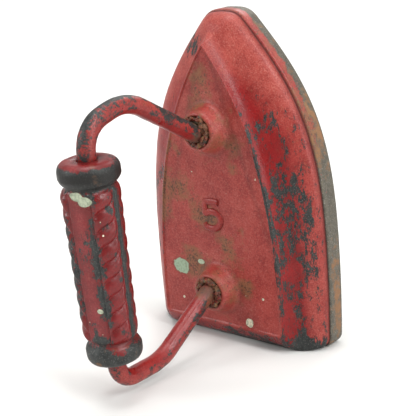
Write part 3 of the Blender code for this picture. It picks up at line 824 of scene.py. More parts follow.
def make_shell(name, facing, faceted):
    stations = shell_stations()
    radii = shell_radius(stations)
    length = GRIP_LENGTH / MM
    inside = [(length - 4, HOLE), (length - 4, FRONT_RADIUS - WALL - 2), (length - 6, FRONT_RADIUS - WALL),
              (6, REAR_RADIUS - WALL), (4, REAR_RADIUS - WALL - 2), (4, HOLE)]
    alongs = np.concatenate([[0], stations, [length], [a for a, _ in inside]])
    base = np.concatenate([[HOLE], radii, [HOLE], [r for _, r in inside]])
    is_out = np.concatenate([[0], np.ones(len(stations)), [0], np.zeros(len(inside))])
    across = np.cross(GRIP_WAY, facing)
    points = []
    turns = np.linspace(-90, 90, SHELL_TURNS + 1)
    shell_part = ramp(alongs, 11, 16) * ramp(length - alongs, 11, 16) * is_out
    for turn in turns:
        angle = math.radians(turn)
        radius = base.copy()
        if faceted:
            flat = math.cos(math.radians(FACET_ANGLE)) / max(math.cos(angle), 0.1)
            if flat < 1:
                radius *= 1 - shell_part * (1 - flat) * 0.8
            radius -= shell_part * 0.45 * bump(abs(turn) - FACET_ANGLE - 2, 4)
        radius += shell_part * 0.75 * ramp(abs(turn), RIM_ANGLE - 2, RIM_ANGLE + 2)
        out = facing * math.cos(angle) + across * math.sin(angle)
        ring = GRIP_REAR + facing * SEAM_GAP * MM + GRIP_WAY * alongs[:, None] * MM
        points.append(ring + out * radius[:, None] * MM)
    count = len(alongs)
    faces = []
    for k in range(SHELL_TURNS):
        for i in range(count):
            j = (i + 1) % count
            faces.append((k * count + i, k * count + j, (k + 1) * count + j, (k + 1) * count + i))
    faces.append(tuple(range(count))[::-1])
    faces.append(tuple(SHELL_TURNS * count + i for i in range(count)))
    shell = make_piece(name, np.concatenate(points), faces, Along=np.tile(alongs, len(turns)),
                       Turned=np.repeat(turns, count), Outside=np.tile(is_out, len(turns)))
    face_out(shell)
    return shell


# %% [markdown]
# ## The pressed lobes
# Slanting, pointed lobes run down both sides of each half at an even pitch, low on the finger
# half, so that a hot, sweaty grip does not slip. They repeat by rule, so a Geometry Nodes tree
# raises them: the distance along the grip is divided by the pitch, leant over with the angle
# round it, and the wave's crest is pushed out along the surface's normal.

# %% Tree that raises the lobes
LOBE_INPUTS = [("Pitch", "Float", 8.7), ("Lean", "Float", 9.0), ("Height", "Float", 0.9 * MM),
               ("First Angle", "Float", 27.0), ("Last Angle", "Float", 80.0), ("Length", "Float", 105.0)]
LOBE_BOW = 0.09         # how far a lobe bows along its way round, as a share of its lean
LOBE_POINT = 1.3        # how pointed the valleys between lobes are


def lobe_tree():
    tree, given = start_tree("Raised lobes", LOBE_INPUTS)
    get = {item: put(tree, "GeometryNodeInputNamedAttribute", item).outputs[0] for item in
           ("Along", "Turned", "Outside")}

    def eased(value, start, end):
        return spread(tree, value, start, end, interpolation_type="SMOOTHSTEP")

    turned = maths(tree, "ABSOLUTE", get["Turned"])
    share = spread(tree, turned, given.outputs["First Angle"], given.outputs["Last Angle"])
    wave = maths(tree, "SINE", times(tree, share, 2 * math.pi))
    bowed = plus(tree, share, times(tree, wave, LOBE_BOW))
    leant = minus(tree, get["Along"], times(tree, bowed, given.outputs["Lean"]))
    phase = maths(tree, "DIVIDE", leant, given.outputs["Pitch"])
    wave = maths(tree, "ABSOLUTE", maths(tree, "SINE", times(tree, phase, math.pi)))
    crest = minus(tree, 1.0, maths(tree, "POWER", minus(tree, 1.0, wave), LOBE_POINT))
    swelling = eased(times(tree, minus(tree, 1.0, share), share), 0.0, 0.17)
    from_front = minus(tree, given.outputs["Length"], get["Along"])
    ends = times(tree, eased(get["Along"], 12.0, 17.0), eased(from_front, 12.0, 17.0))
    height = times(tree, times(tree, crest, swelling), times(tree, ends, given.outputs["Height"]))
    height = times(tree, height, get["Outside"])
    normal = put(tree, "GeometryNodeInputNormal").outputs[0]
    shift = put(tree, "ShaderNodeVectorMath", normal, operation="SCALE")
    tree.links.new(height, shift.inputs["Scale"])
    moved = put(tree, "GeometryNodeSetPosition", given.outputs["Geometry"], None, None, shift.outputs[0])
    return end_tree(tree, moved.outputs[0], given)


LOBES = lobe_tree()
lobe_values = {"Length": GRIP_LENGTH / MM, "Height": 1.7 * MM}
palm_shell = worked(make_shell("palm_shell_blank", TURNED_PALM, True), LOBES, lobe_values, "palm_shell")
finger_values = dict(lobe_values, Height=0.5 * MM)
finger_blank = make_shell("finger_shell_blank", -TURNED_PALM, False)
finger_shell = worked(finger_blank, LOBES, finger_values, "finger_shell")

# (share along from the front, angle, half length, half angle, amount) of each worn patch on the
# palm half
GRIP_WEAR = [
    (0.25, 24, 0.035, 8, 0.24), (0.34, 23, 0.030, 7, 0.30), (0.40, 26, 0.050, 11, 0.40),
    (0.50, 25, 0.050, 12, 0.50), (0.61, 26, 0.052, 12, 0.46), (0.70, 28, 0.040, 11, 0.42),
    (0.76, 33, 0.030, 7, 0.30), (0.21, 62, 0.020, 8, 0.20), (0.18, 34, 0.015, 6, 0.20),
    (0.30, -55, 0.10, 22, 0.20), (0.50, -48, 0.14, 26, 0.26), (0.68, -52, 0.14, 22, 0.22),
    (0.115, 10, 0.016, 13, 0.60), (0.42, 66, 0.020, 8, 0.24), (0.56, 70, 0.018, 7, 0.26),
    (0.87, 8, 0.034, 22, 0.85), (0.15, 26, 0.022, 10, 0.45), (0.80, -8, 0.030, 8, 0.26),
    (0.82, 60, 0.02, 8, 0.24),
]
GRIP_CHIPS = [
    (14.7, -0.8, 2.5, 4.4, 0.35), (17.2, 4.0, 2.6, 4.4, 0.35), (73.5, 3.6, 1.4, 2.2, 0.45),
    (34.0, 11.0, 0.5, 0.5, 1.0), (80.0, -5.0, 0.35, 0.35, 1.0), (27.0, 10.5, 0.35, 0.4, 1.0),
    (86.0, 3.0, 0.35, 0.35, 1.0),
]


def finish_shell(shell, seed, is_palm):
    """Unevenness and marks of one half of the grip."""
    points = points_of(shell)
    along = get_mark(shell, "Along")
    turned = get_mark(shell, "Turned")
    outer = get_mark(shell, "Outside")
    length = GRIP_LENGTH / MM
    from_front = length - along
    inner = ramp(np.abs(turned), 89.5, 87)
    swell = 0.20 * lumps(points, 9 * MM, seed) + 0.10 * lumps(points, 3.5 * MM, seed + 1)
    swell += 0.04 * lumps(points, 1.6 * MM, seed + 2)
    push_out(shell, swell * outer * inner)
    wear = 0.34 + 0.12 * lumps(points, 12 * MM, seed + 6)
    rim = ramp(np.abs(turned), RIM_ANGLE - 2.5, RIM_ANGLE + 1)
    shell_part = ramp(along, 12, 15) * ramp(from_front, 12, 15)
    front_dome = ramp(from_front, 13.0, 11.0)
    rear_dome = ramp(along, 12.0, 10.0)
    wear += rim * shell_part * (0.62 if is_palm else 0.15)
    if is_palm:
        for share, angle, long, wide, amount in GRIP_WEAR:
            there = bump(from_front / length - share, long * 1.7) * bump(turned - angle, wide * 1.7)
            wear += amount * there * shell_part
        kept_paint = 0.5 * bump(turned - 20, 30) * ramp(from_front, 4.0, 2.0)
        wear += 0.95 * bump(from_front - 7.0, 8.0) * (1 - kept_paint)
        wear -= 0.20 * ramp(from_front, 2.4, 0.8)
        wear += 0.70 * bump(along - 6.0, 8.0) * (1 - 0.9 * bump(turned - 46, 26) * ramp(along, 5, 8))
        wear += 0.3 * ramp(along, 2.5, 0.5)
    else:
        wear += 0.60 * bump(from_front - 6.0, 6.5) + 0.50 * bump(along - 6.5, 7.0)
    rust = 0.12 + 0.30 * front_dome * bump(turned - 45, 14) + 0.2 * rear_dome
    # Painted shade in the groove behind each collar, and a dark band round the front collar.
    dirt_and_shade = 0.7 * bump(from_front - 12.2, 1.6) + 0.5 * bump(along - 12.2, 1.6) + 1.1 * front_dome * bump(
        from_front - 6.0, 6.0)
    dirt_and_shade += 0.30 * rim * (not is_palm)
    chip, tone = chip_field(from_front, turned / 4, GRIP_CHIPS if is_palm else [])
    fade_and_painted_light = 0.10 + 0.50 * bump(turned + 2, 24) * is_palm + 0.2 * lumps(points, 8 * MM, seed + 5)
    set_marks(shell, Wear=wear * outer, Rust=rust * outer, Dirt=np.clip(dirt_and_shade, 0, 1) * outer,
              Chip=np.where(outer > 0, chip, -1.0), Tone=tone * outer, Faded=np.clip(fade_and_painted_light, 0, 1) * outer)
    report(shell)


finish_shell(palm_shell, 31, True)
finish_shell(finger_shell, 41, False)

# %% [markdown]
# ## Drive pins
# Two headed pins tie the halves to the rod. They are kept from the plain model, and the finger
# half gets a counterbored seat for each head. A boolean cut is the plain way to bore a round seat
# into a curved wall.

# %% Pin seats in the finger shell
PIN_INSET = 24 * MM
SEAT_RADIUS = 3.95 * MM


def bore_seat(shell, centre, radius, floor):
    bm = bmesh.new()
    bmesh.ops.create_cone(bm, cap_ends=True, segments=40, radius1=radius, radius2=radius, depth=8 * MM)
    mesh = bpy.data.meshes.new("seat")
    bm.to_mesh(mesh)
    bm.free()
    drill = new_object("seat", mesh)
    drill.rotation_mode = "QUATERNION"
    drill.rotation_quaternion = Vector((0, 0, 1)).rotation_difference(Vector(-PALM_WAY))
    drill.location = Vector(centre - PALM_WAY * (floor + 4 * MM))
    cut = shell.modifiers.new("seat", "BOOLEAN")
    cut.operation = "DIFFERENCE"
    cut.solver = "EXACT"
    cut.object = drill
    mesh = evaluated_mesh(shell)
    shell.modifiers.clear()
    shell.data = mesh
    bpy.data.objects.remove(drill)


for centre in (GRIP_FRONT - GRIP_WAY * PIN_INSET, GRIP_REAR + GRIP_WAY * PIN_INSET):
    share = float(np.linalg.norm(centre - GRIP_REAR)) / GRIP_LENGTH
    head = (REAR_RADIUS + (FRONT_RADIUS - REAR_RADIUS) * share) * MM
    bore_seat(finger_shell, centre, SEAT_RADIUS, head - 2.2 * MM)
report(finger_shell)

# %% [markdown]
# ## The poured sockets
# The rod's ends were set in the bosses with poured lead or iron, which set in a crust of drips
# and scale. The plain plugs are copied, remeshed fine enough to be lumpy, and their tops are
# heaved up with noise. The originals stay as they are and are only hidden.

# %% Socket fillings and wedge
FILL_LIFT = 2.0 * MM


def remeshed(node, name, voxel):
    """A fine copy of a model node, in place."""
    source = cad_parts[node]
    copy = new_object(name, source.data.copy())
    copy.data.transform(source.matrix_world)
    work = copy.modifiers.new("fine", "REMESH")
    work.mode = "VOXEL"
    work.voxel_size = voxel
    mesh = evaluated_mesh(copy)
    bpy.data.objects.remove(copy)
    mesh.materials.clear()
    mesh.shade_smooth()
    mesh.name = name
    made = new_object(name, mesh)
    report(made)
    return made


def crusted(node, name, seed, heave):
    piece = remeshed(node, name, 0.35 * MM)
    points = points_of(piece)
    out = normals_of(piece)
    rise = (FACE_Y - points[:, 1]) / MM
    top = ramp(rise, BOSS_TOP / MM - 3.5, BOSS_TOP / MM - 1.6)
    swell = heave * (lumps(points, 2.3 * MM, seed) + 0.6 * lumps(points, 1.1 * MM, seed + 1)) + heave * 0.5
    raised = points + out * (swell * top)[:, None] * MM
    raised[:, 1] -= FILL_LIFT * top
    set_points(piece, raised)
    set_marks(piece, Wear=0.48 + 0.25 * lumps(points, 3 * MM, seed + 2),
              Rust=0.62 + 0.3 * lumps(points, 2 * MM, seed + 3),
              Dirt=np.clip(0.35 + 0.8 * lumps(points, 1.5 * MM, seed + 4), 0, 1))
    return piece


front_fill = crusted("front_socket_fill", "front_poured_plug", 51, 1.4)
rear_fill = crusted("rear_socket_fill", "rear_poured_plug", 61, 1.5)
wedge = remeshed("front_wedge", "driven_wedge", 0.22 * MM)
points = points_of(wedge)
push_out(wedge, 0.12 * lumps(points, 1.1 * MM, 71))
set_marks(wedge, Wear=0.9, Rust=0.5, Dirt=0.35 + 0.3 * lumps(points, 1.5 * MM, 72))

# %% [markdown]
# ## Scale and drips
# Small beads of scale and spilled metal stick to the plugs. They repeat in no order, so a
# Geometry Nodes tree scatters them over the plug's top with a fixed seed, each a little ball of
# its own size.

# %% Tree that scatters beads
BEAD_INPUTS = [("Density", "Float", 220000.0), ("Bead Size", "Float", 0.75 * MM), ("Lowest Y", "Float", 0.0),
               ("Seed", "Int", 1)]


def bead_tree():
    tree, given = start_tree("Scattered beads", BEAD_INPUTS)
    position = put(tree, "GeometryNodeInputPosition").outputs[0]
    height = put(tree, "ShaderNodeSeparateXYZ", position).outputs["Y"]
    lowest = given.outputs["Lowest Y"]
    on_top = put(tree, "FunctionNodeCompare", height, lowest, operation="LESS_THAN").outputs[0]
    scatter = put(tree, "GeometryNodeDistributePointsOnFaces", given.outputs["Geometry"], on_top)
    tree.links.new(given.outputs["Density"], scatter.inputs["Density"])
    tree.links.new(given.outputs["Seed"], scatter.inputs["Seed"])
    ball = put(tree, "GeometryNodeMeshIcoSphere", given.outputs["Bead Size"], 3)
    size = put(tree, "FunctionNodeRandomValue", data_type="FLOAT")
    size.inputs[2].default_value = 0.4
    size.inputs[3].default_value = 1.3
    tree.links.new(given.outputs["Seed"], size.inputs["Seed"])
    beads = put(tree, "GeometryNodeInstanceOnPoints", scatter.outputs["Points"])
    tree.links.new(ball.outputs["Mesh"], beads.inputs["Instance"])
    tree.links.new(size.outputs[1], beads.inputs["Scale"])
    return end_tree(tree, beads.outputs[0], given)


BEADS = bead_tree()


def beads_on(plug, name, seed):
    carrier = new_object("carrier", plug.data.copy())
    values = {"Lowest Y": FACE_Y - BOSS_TOP + 1.0 * MM, "Seed": seed}
    beads = worked(carrier, BEADS, values, name)
    points = points_of(beads)
    push_out(beads, 0.10 * lumps(points, 0.8 * MM, seed))
    set_marks(beads, Wear=0.45 + 0.6 * lumps(points, 2.5 * MM, seed + 1),
              Rust=0.7 + 0.3 * lumps(points, 2 * MM, seed + 2),
              Dirt=np.clip(0.2 + 0.8 * lumps(points, 2 * MM, seed + 3), 0, 1))
    report(beads)
    return beads


front_beads = beads_on(front_fill, "front_scale_beads", 5)
rear_beads = beads_on(rear_fill, "rear_scale_beads", 8)

# %% [markdown]
# ## Finish groups
# Every finish here is made of the same three things: old red paint, bare dark iron and the border
# between them. Each is a shader node group that gives out colours, masks and heights, so the
# body, the bow and the grip wear in the same way and differ only in the values that they set.
# Noise is read in object coordinates, in metres.

# %% Node helpers


def start_group(name, inputs, outputs):
    tree = bpy.data.node_groups.new(name, "ShaderNodeTree")
    for label, kind, value in inputs:
        socket = tree.interface.new_socket(label, in_out="INPUT", socket_type=f"NodeSocket{kind}")
        if value is not None:
            socket.default_value = value
    for label, kind in outputs:
        tree.interface.new_socket(label, in_out="OUTPUT", socket_type=f"NodeSocket{kind}")
    return tree, put(tree, "NodeGroupInput").outputs, put(tree, "NodeGroupOutput")


def end_group(tree, result, **values):
    for label, value in values.items():
        feed(tree, result.inputs[label], value)
    return tree


def grain(tree, vector, scale, detail=4.0, roughness=0.6, distortion=0.0):
    node = put(tree, "ShaderNodeTexNoise")
    for label, value in (("Vector", vector), ("Scale", scale), ("Detail", detail), ("Roughness", roughness),
                         ("Distortion", distortion)):
        feed(tree, node.inputs[label], value)
    return node.outputs["Fac"]


def mixed(tree, factor, first, second, mode="MIX"):
    node = put(tree, "ShaderNodeMix", data_type="RGBA", blend_type=mode)
    for index, value in ((0, factor), (6, first), (7, second)):
        feed(tree, node.inputs[index], value)
    return node.outputs[2]


def between(tree, factor, first, second):
    return put(tree, "ShaderNodeMix", factor, None, first, second).outputs[0]


def colour(red, green, blue):
    return (red, green, blue, 1.0)


# %% [markdown]
# ### Worn paint
# Paint leaves in flakes: a broad field decides where, a finer one makes the border ragged, and a
# few specks fall away in the middle of good paint. The wear mark moves the level of the sea, the
# noise is the coast.

# %% Group: worn paint mask
def worn_group():
    tree, given, result = start_group(
        "Worn paint", [("Vector", "Vector", None), ("Wear", "Float", 0.2), ("Coarse", "Float", 210.0),
                       ("Fine", "Float", 900.0), ("Sharpness", "Float", 0.012)],
        [("Bare", "Float"), ("Border", "Float")])
    broad = grain(tree, given["Vector"], given["Coarse"], 5.0, 0.70, 0.3)
    fine = grain(tree, given["Vector"], given["Fine"], 4.0, 0.66)
    field = plus(tree, times(tree, broad, 0.62), times(tree, fine, 0.38))
    field = plus(tree, field, swing(tree, given["Wear"], 0.52))
    low = minus(tree, 0.5, given["Sharpness"])
    high = plus(tree, 0.5, given["Sharpness"])
    bare = spread(tree, field, low, high, interpolation_type="SMOOTHSTEP")
    from_border = maths(tree, "ABSOLUTE", minus(tree, field, 0.492))
    return end_group(tree, result, Bare=bare, Border=minus(tree, 1.0, spread(tree, from_border, 0.0, 0.035)))


WORN = worn_group()

# %% [markdown]
# ### Old red paint
# The red is a single brushed coat gone uneven: darker where it lies thick, browner where rust has
# come through, chalky in specks where the grain stands proud.

# %% Group: paint colour
def paint_group():
    tree, given, result = start_group(
        "Old red paint", [("Vector", "Vector", None), ("Rust", "Float", 0.1), ("Dirt", "Float", 0.0),
                          ("Faded", "Float", 0.5), ("Fresh", "Color", colour(0.25, 0.010, 0.009)),
                          ("Chalky", "Color", colour(0.33, 0.050, 0.042)), ("Chalk", "Float", 0.35)],
        [("Color", "Color"), ("Roughness", "Float")])
    where, rust = given["Vector"], given["Rust"]
    broad = grain(tree, where, 55.0)
    # The fade mark mixes deep red towards pale chalky red; on the body this also paints highlights on the toe
    # and shoulder and shade in the hollow.
    coat = mixed(tree, plus(tree, given["Faded"], swing(tree, broad, 0.5)), given["Fresh"], given["Chalky"])
    coat.node.clamp_factor = True
    thick = mixed(tree, 1.0, coat, colour(0.78, 0.60, 0.62), "MULTIPLY")
    shade = mixed(tree, spread(tree, grain(tree, where, 120.0, 3.0), 0.60, 0.36), coat, thick)
    speck = grain(tree, where, 1300.0, 2.0)
    # Pale specks, denser where the fade mark is high, so they also lighten the painted highlights.
    chalkiness = times(tree, given["Chalk"], plus(tree, given["Faded"], 0.12))
    chalk = times(tree, spread(tree, speck, 0.52, 0.68), chalkiness)
    shade = mixed(tree, chalk, shade, colour(0.46, 0.17, 0.13))
    shade = mixed(tree, times(tree, spread(tree, speck, 0.45, 0.30), 0.55), shade, colour(0.10, 0.012, 0.012))
    stain = plus(tree, grain(tree, where, 170.0, 5.0, 0.68), swing(tree, rust, 0.55))
    stain = spread(tree, stain, 0.42, 0.66)
    patch = mixed(tree, grain(tree, where, 420.0, 3.0), colour(0.19, 0.07, 0.03), colour(0.20, 0.115, 0.05))
    shade = mixed(tree, times(tree, stain, 0.75), shade, patch)
    spot = spread(tree, plus(tree, grain(tree, where, 800.0, 3.0), swing(tree, rust, 0.30)), 0.60, 0.66)
    shade = mixed(tree, times(tree, spot, 0.85), shade, colour(0.075, 0.035, 0.022))
    # Near black where the dirt-and-shade mark is high: grime, and painted shade along the ledge and in the
    # grip's grooves.
    shade = mixed(tree, times(tree, given["Dirt"], 0.8), shade, colour(0.030, 0.014, 0.012))
    rough = spread(tree, broad, 0.35, 0.65, 0.24, 0.36)
    for value, amount in ((given["Faded"], 0.10), (stain, 0.15), (given["Dirt"], 0.15)):
        rough = plus(tree, rough, times(tree, value, amount))
    return end_group(tree, result, Color=shade, Roughness=rough)


PAINT = paint_group()

# %% [markdown]
# ### Bare iron
# Handled iron goes a dark grey with a dull polish. Where it was left alone it browns, and fresh
# rust is orange and quite matt.

# %% Group: iron colour
def iron_group():
    tree, given, result = start_group(
        "Bare iron", [("Vector", "Vector", None), ("Rust", "Float", 0.1), ("Dirt", "Float", 0.0),
                      ("Iron", "Color", colour(0.075, 0.078, 0.076)), ("Bright", "Float", 0.3)],
        [("Color", "Color"), ("Roughness", "Float"), ("Metallic", "Float")])
    where = given["Vector"]
    mottle = grain(tree, where, 320.0, 5.0, 0.65)
    dull = mixed(tree, 1.0, given["Iron"], colour(0.5, 0.5, 0.52), "MULTIPLY")
    base = mixed(tree, spread(tree, mottle, 0.35, 0.65), dull, given["Iron"])
    glint = times(tree, spread(tree, grain(tree, where, 1500.0, 2.0), 0.55, 0.72), given["Bright"])
    base = mixed(tree, glint, base, colour(0.32, 0.31, 0.29))
    rusting = plus(tree, grain(tree, where, 190.0, 6.0, 0.7), swing(tree, given["Rust"], 0.6))
    rusting = spread(tree, rusting, 0.48, 0.62)
    rust = mixed(tree, grain(tree, where, 500.0, 4.0, 0.65), colour(0.16, 0.075, 0.035),
                 colour(0.34, 0.15, 0.05))
    base = mixed(tree, times(tree, rusting, 0.8), base, rust)
    # Near black on bare iron where the dirt-and-shade mark is high: grime, and painted shade along the ledge.
    base = mixed(tree, times(tree, given["Dirt"], 0.8), base, colour(0.018, 0.016, 0.015))
    rough = plus(tree, spread(tree, mottle, 0.3, 0.7, 0.42, 0.60), times(tree, rusting, 0.25))
    metallic = times(tree, minus(tree, 1.0, rusting), 0.45)
    return end_group(tree, result, Color=base, Roughness=rough, Metallic=metallic)


IRON = iron_group()

# %% [markdown]
# ### Sand-cast grain
# The surface under the paint is sandy: rounded grains a fraction of a millimetre across and a
# sprinkling of pits. The group puts out a height, and each material feeds it to a bump node of
# its own strength.

# %% Group: cast grain height
def grain_group():
    tree, given, result = start_group(
        "Cast grain", [("Vector", "Vector", None), ("Grain", "Float", 1500.0), ("Pitted", "Float", 0.5),
                       ("Bare", "Float", 0.0)], [("Height", "Float")])
    where = given["Vector"]
    sand = times(tree, grain(tree, where, given["Grain"], 3.0, 0.55), 0.5)
    swell = times(tree, grain(tree, where, 420.0, 3.0, 0.5), 0.7)
    pits = times(tree, spread(tree, grain(tree, where, 700.0, 2.0, 0.5), 0.40, 0.30), given["Pitted"])
    height = minus(tree, plus(tree, sand, swell), pits)
    return end_group(tree, result, Height=minus(tree, height, times(tree, given["Bare"], 0.55)))


CAST = grain_group()

# %% [markdown]
# ## Finishes
# One builder puts the groups together. Each finish says how red its paint is, how it wears, how
# coarse its grain is and how bright its iron. Chips of an older pale paint show through where a
# chip mark has been laid.

# %% Finishes


FRESH_RED = colour(0.235, 0.004, 0.005)
# Pale chalky red, also the colour of the painted highlights on the body's toe and shoulder.
CHALKY_AND_SHEEN_RED = colour(0.37, 0.062, 0.048)
DARK_IRON = colour(0.048, 0.052, 0.050)
BAND_IRON = colour(0.135, 0.120, 0.090)
PALE_GREEN = colour(0.30, 0.40, 0.28)
CREAM = colour(0.74, 0.68, 0.52)
BUMP_DEPTH = 0.22 * MM


def use_group(tree, group, **values):
    node = put(tree, "ShaderNodeGroup", node_tree=group)
    for label, value in values.items():
        feed(tree, node.inputs[label], value)
    return node.outputs


def worn_finish(name, fresh=FRESH_RED, chalky_and_sheen=CHALKY_AND_SHEEN_RED, iron=DARK_IRON, coarse=210.0, fine=900.0,
                stretch=(1, 1, 1), relief=0.5, bright=0.3, chalk=0.5, chips=True, gloss=0.5):
    material = bpy.data.materials.new(name)
    material.use_nodes = True
    tree = material.node_tree
    shader = tree.nodes["Principled BSDF"]
    where = put(tree, "ShaderNodeTexCoord").outputs["Object"]
    drawn = put(tree, "ShaderNodeVectorMath", where, stretch, operation="MULTIPLY").outputs[0]
    mark = {}
    for label in ("Wear", "Rust", "Dirt", "Faded") + (("Chip", "Tone") if chips else ()):
        mark[label] = put(tree, "ShaderNodeAttribute", attribute_name=label).outputs["Fac"]
    rust, dirt_and_shade = mark["Rust"], mark["Dirt"]
    worn = use_group(tree, WORN, Vector=drawn, Wear=mark["Wear"], Coarse=coarse, Fine=fine)
    painted = use_group(tree, PAINT, Vector=where, Rust=rust, Dirt=dirt_and_shade, Faded=mark["Faded"], Fresh=fresh,
                        Chalky=chalky_and_sheen, Chalk=chalk)
    metal = use_group(tree, IRON, Vector=where, Rust=rust, Dirt=dirt_and_shade, Iron=iron, Bright=bright)
    cast = use_group(tree, CAST, Vector=where, Bare=worn["Bare"])
    red = mixed(tree, times(tree, worn["Border"], 0.45), painted["Color"], colour(0.06, 0.014, 0.013))
    surface = mixed(tree, worn["Bare"], red, metal["Color"])
    rough = between(tree, worn["Bare"], painted["Roughness"], metal["Roughness"])
    metallic = times(tree, worn["Bare"], metal["Metallic"])
    if chips:
        chip = plus(tree, mark["Chip"], swing(tree, grain(tree, where, 300.0, 3.0, 0.5), 0.75))
        inside = spread(tree, chip, 0.05, 0.12)
        pale = mixed(tree, mark["Tone"], PALE_GREEN, CREAM)
        stained = spread(tree, grain(tree, where, 600.0, 3.0), 0.45, 0.70)
        pale = mixed(tree, stained, pale, colour(0.20, 0.25, 0.17))
        ring = times(tree, spread(tree, chip, -0.12, 0.02), 0.35)
        surface = mixed(tree, inside, mixed(tree, ring, surface, colour(0.09, 0.05, 0.03)), pale)
        rough = between(tree, inside, rough, 0.6)
        metallic = times(tree, metallic, minus(tree, 1.0, inside))
    bumps = put(tree, "ShaderNodeBump")
    for label, value in (("Strength", relief), ("Distance", BUMP_DEPTH), ("Height", cast["Height"])):
        feed(tree, bumps.inputs[label], value)
    for label, value in (("Normal", bumps.outputs[0]), ("Base Color", surface), ("Roughness", rough),
                         ("Metallic", metallic), ("Specular IOR Level", gloss)):
        feed(tree, shader.inputs[label], value)
    return material


def give(piece, material):
    piece.data.materials.clear()
    piece.data.materials.append(material)


painted_body = worn_finish("painted_cast_iron", coarse=230.0, fine=1100.0, stretch=(1, 1, 0.5), relief=0.6,
                           gloss=0.32, chalk=0.4)
bare_band = worn_finish("ground_band_iron", iron=BAND_IRON, coarse=190.0, bright=0.6, chips=False)
painted_rod = worn_finish("painted_rod", coarse=260.0, fine=1000.0, relief=0.35, gloss=0.42)
painted_grip = worn_finish("painted_grip", colour(0.165, 0.005, 0.006), colour(0.26, 0.028, 0.032),
                           coarse=280.0, fine=1000.0, stretch=(1, 1, 0.7), relief=0.4, gloss=0.4,
                           chalk=0.25)
crust = worn_finish("poured_crust", iron=colour(0.10, 0.080, 0.055), coarse=420.0, fine=1500.0, relief=0.8,
                    chips=False, gloss=0.35)
olive_iron = worn_finish("wedge_iron", iron=colour(0.13, 0.105, 0.06), coarse=400.0, fine=1500.0, relief=0.7,
                         chips=False, gloss=0.35)

# %% [markdown]
# ## Which piece stands for which part
# Each finished piece rides the one rigid body and replaces its plain counterpart. The body casting
# has two finishes: its faces below the ledge are ground, the rest is painted.

# %% Hand the pieces to the frame
give(body, painted_body)
body.data.materials.append(bare_band)
body_marks = np.array([body_level[list(face.vertices)].mean() for face in body.data.polygons])
body.data.polygons.foreach_set("material_index", (body_marks < -0.4).astype(np.int32))
for piece, material in ((figure, painted_body), (bow, painted_rod), (palm_shell, painted_grip),
                        (finger_shell, painted_grip), (front_fill, crust), (rear_fill, crust),
                        (front_beads, crust), (rear_beads, crust), (wedge, olive_iron)):
    give(piece, material)

PIECES = [
    (body, "iron_body", "painted_cast_iron"), (figure, None, "painted_cast_iron"),
    (bow, "handle_bow", "painted_rod"), (palm_shell, "grip_palm_shell", "painted_grip"),
    (finger_shell, "grip_finger_shell", "painted_grip"),
    (front_fill, "front_socket_fill", "poured_metal"), (rear_fill, "rear_socket_fill", "poured_metal"),
    (front_beads, None, "poured_metal"), (rear_beads, None, "poured_metal"),
    (wedge, "front_wedge", "bare_iron"),
]
for piece, node, slot in PIECES:
    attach(piece, "root")
    if node:
        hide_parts(node)

pin_iron = worn_finish("pin_iron", chips=False)
for name in ("grip_front_pin", "grip_rear_pin"):
    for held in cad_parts[name].material_slots:
        held.material = pin_iron

# %% [markdown]
# ## Floor, light and camera
# The iron stands on a white floor under five soft lights: one overhead, two from the right, one
# from the left and one that washes the floor behind it. The room's own pale light fills the rest.
# The lens looks slightly down on the palm side, and the camera is rolled a little.

# %% Floor
FLOOR_SIZE = 6.0
half = FLOOR_SIZE / 2
corners = [(-half, -half, 0), (half, -half, 0), (half, half, 0), (-half, half, 0)]
floor = make_piece("floor", corners, [(0, 1, 2, 3)])
paper = bpy.data.materials.new("white_paper")
paper.use_nodes = True
for label, value in (("Base Color", colour(0.735, 0.735, 0.72)), ("Roughness", 0.9),
                     ("Specular IOR Level", 0.1)):
    feed(paper.node_tree, paper.node_tree.nodes["Principled BSDF"].inputs[label], value)
give(floor, paper)
floor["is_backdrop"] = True

# %% Room light
world = bpy.data.worlds.new("room")
world.use_nodes = True
bpy.context.scene.world = world
room = world.node_tree
backdrop = room.nodes["Background"]
backdrop.inputs["Color"].default_value = colour(0.975, 0.975, 0.945)
backdrop.inputs["Strength"].default_value = 1.0
way = put(room, "ShaderNodeSeparateXYZ", put(room, "ShaderNodeTexCoord").outputs["Generated"])
above = spread(room, way.outputs["Z"], -0.2, 0.9, 0.50, 0.75)
behind = spread(room, way.outputs["Y"], -0.9, 0.6, 0.65, 1.15)
to_right = spread(room, way.outputs["X"], -0.8, 0.8, 0.90, 1.15)
strength = times(room, times(room, above, behind), to_right)
lighting = put(room, "ShaderNodeBackground", colour(1.0, 0.99, 0.97), strength)
seen = put(room, "ShaderNodeLightPath").outputs["Is Camera Ray"]
both = put(room, "ShaderNodeMixShader", seen, lighting.outputs[0], backdrop.outputs[0])
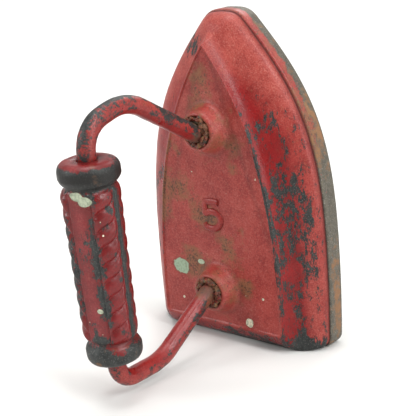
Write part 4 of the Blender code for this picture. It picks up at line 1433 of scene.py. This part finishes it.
room.links.new(both.outputs[0], room.nodes["World Output"].inputs["Surface"])


def soft_light(name, location, size, power, target=(0, 0, 0.08)):
    data = bpy.data.lights.new(name, "AREA")
    data.shape = "SQUARE"
    data.size = size
    data.energy = power
    made = new_object(name, data)
    made.location = location
    made.rotation_euler = (Vector(target) - Vector(location)).to_track_quat("-Z", "Y").to_euler()


soft_light("overhead", (-0.10, -0.05, 2.40), 1.2, 26.0)
soft_light("high_right", (1.80, -0.25, 2.00), 1.0, 30.0)
soft_light("right_window", (2.30, 0.30, 0.60), 1.0, 15.0)
soft_light("left_window", (-1.90, -2.00, 1.40), 1.3, 42.0)
soft_light("back_wash", (-0.80, 2.40, 1.90), 1.8, 34.0, target=(-0.80, 2.00, 0.0))

# %% Camera
AZIMUTH = math.radians(41.0)
ELEVATION = math.radians(16.9)
ROLL = math.radians(-4.5)
LOOK_AT = Vector((-13.4 * MM, FACE_Y - 20.94 * MM, 72.7 * MM))
DISTANCE = 626.4 * MM
right = Vector((math.cos(AZIMUTH), math.sin(AZIMUTH), 0))
back = Vector((math.sin(AZIMUTH) * math.cos(ELEVATION), -math.cos(AZIMUTH) * math.cos(ELEVATION),
               math.sin(ELEVATION)))
up = back.cross(right)
rolled_right = right * math.cos(ROLL) + up * math.sin(ROLL)
rolled_up = up * math.cos(ROLL) - right * math.sin(ROLL)
camera_data = bpy.data.cameras.new("camera")
camera_data.lens = 97.27
camera_data.sensor_width = 36.0
camera = new_object("camera", camera_data)
stand = LOOK_AT + back * DISTANCE
axes = Matrix([rolled_right, rolled_up, back]).transposed().to_4x4()
camera.matrix_world = Matrix.Translation(stand) @ axes
bpy.context.scene.camera = camera
bpy.context.scene.view_settings.view_transform = "Standard"

# %% [markdown]
# ## Sizes beside the plain model
# The boxes of the plain model and of the finished pieces are printed one after the other.

# %% Sizes and finish
new_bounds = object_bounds()
for label, (low, high) in (("model", cad_bounds), ("finished", new_bounds)):
    print("%s: %s mm" % (label, " x ".join("%.1f" % ((h - l) / MM) for l, h in zip(low, high))))
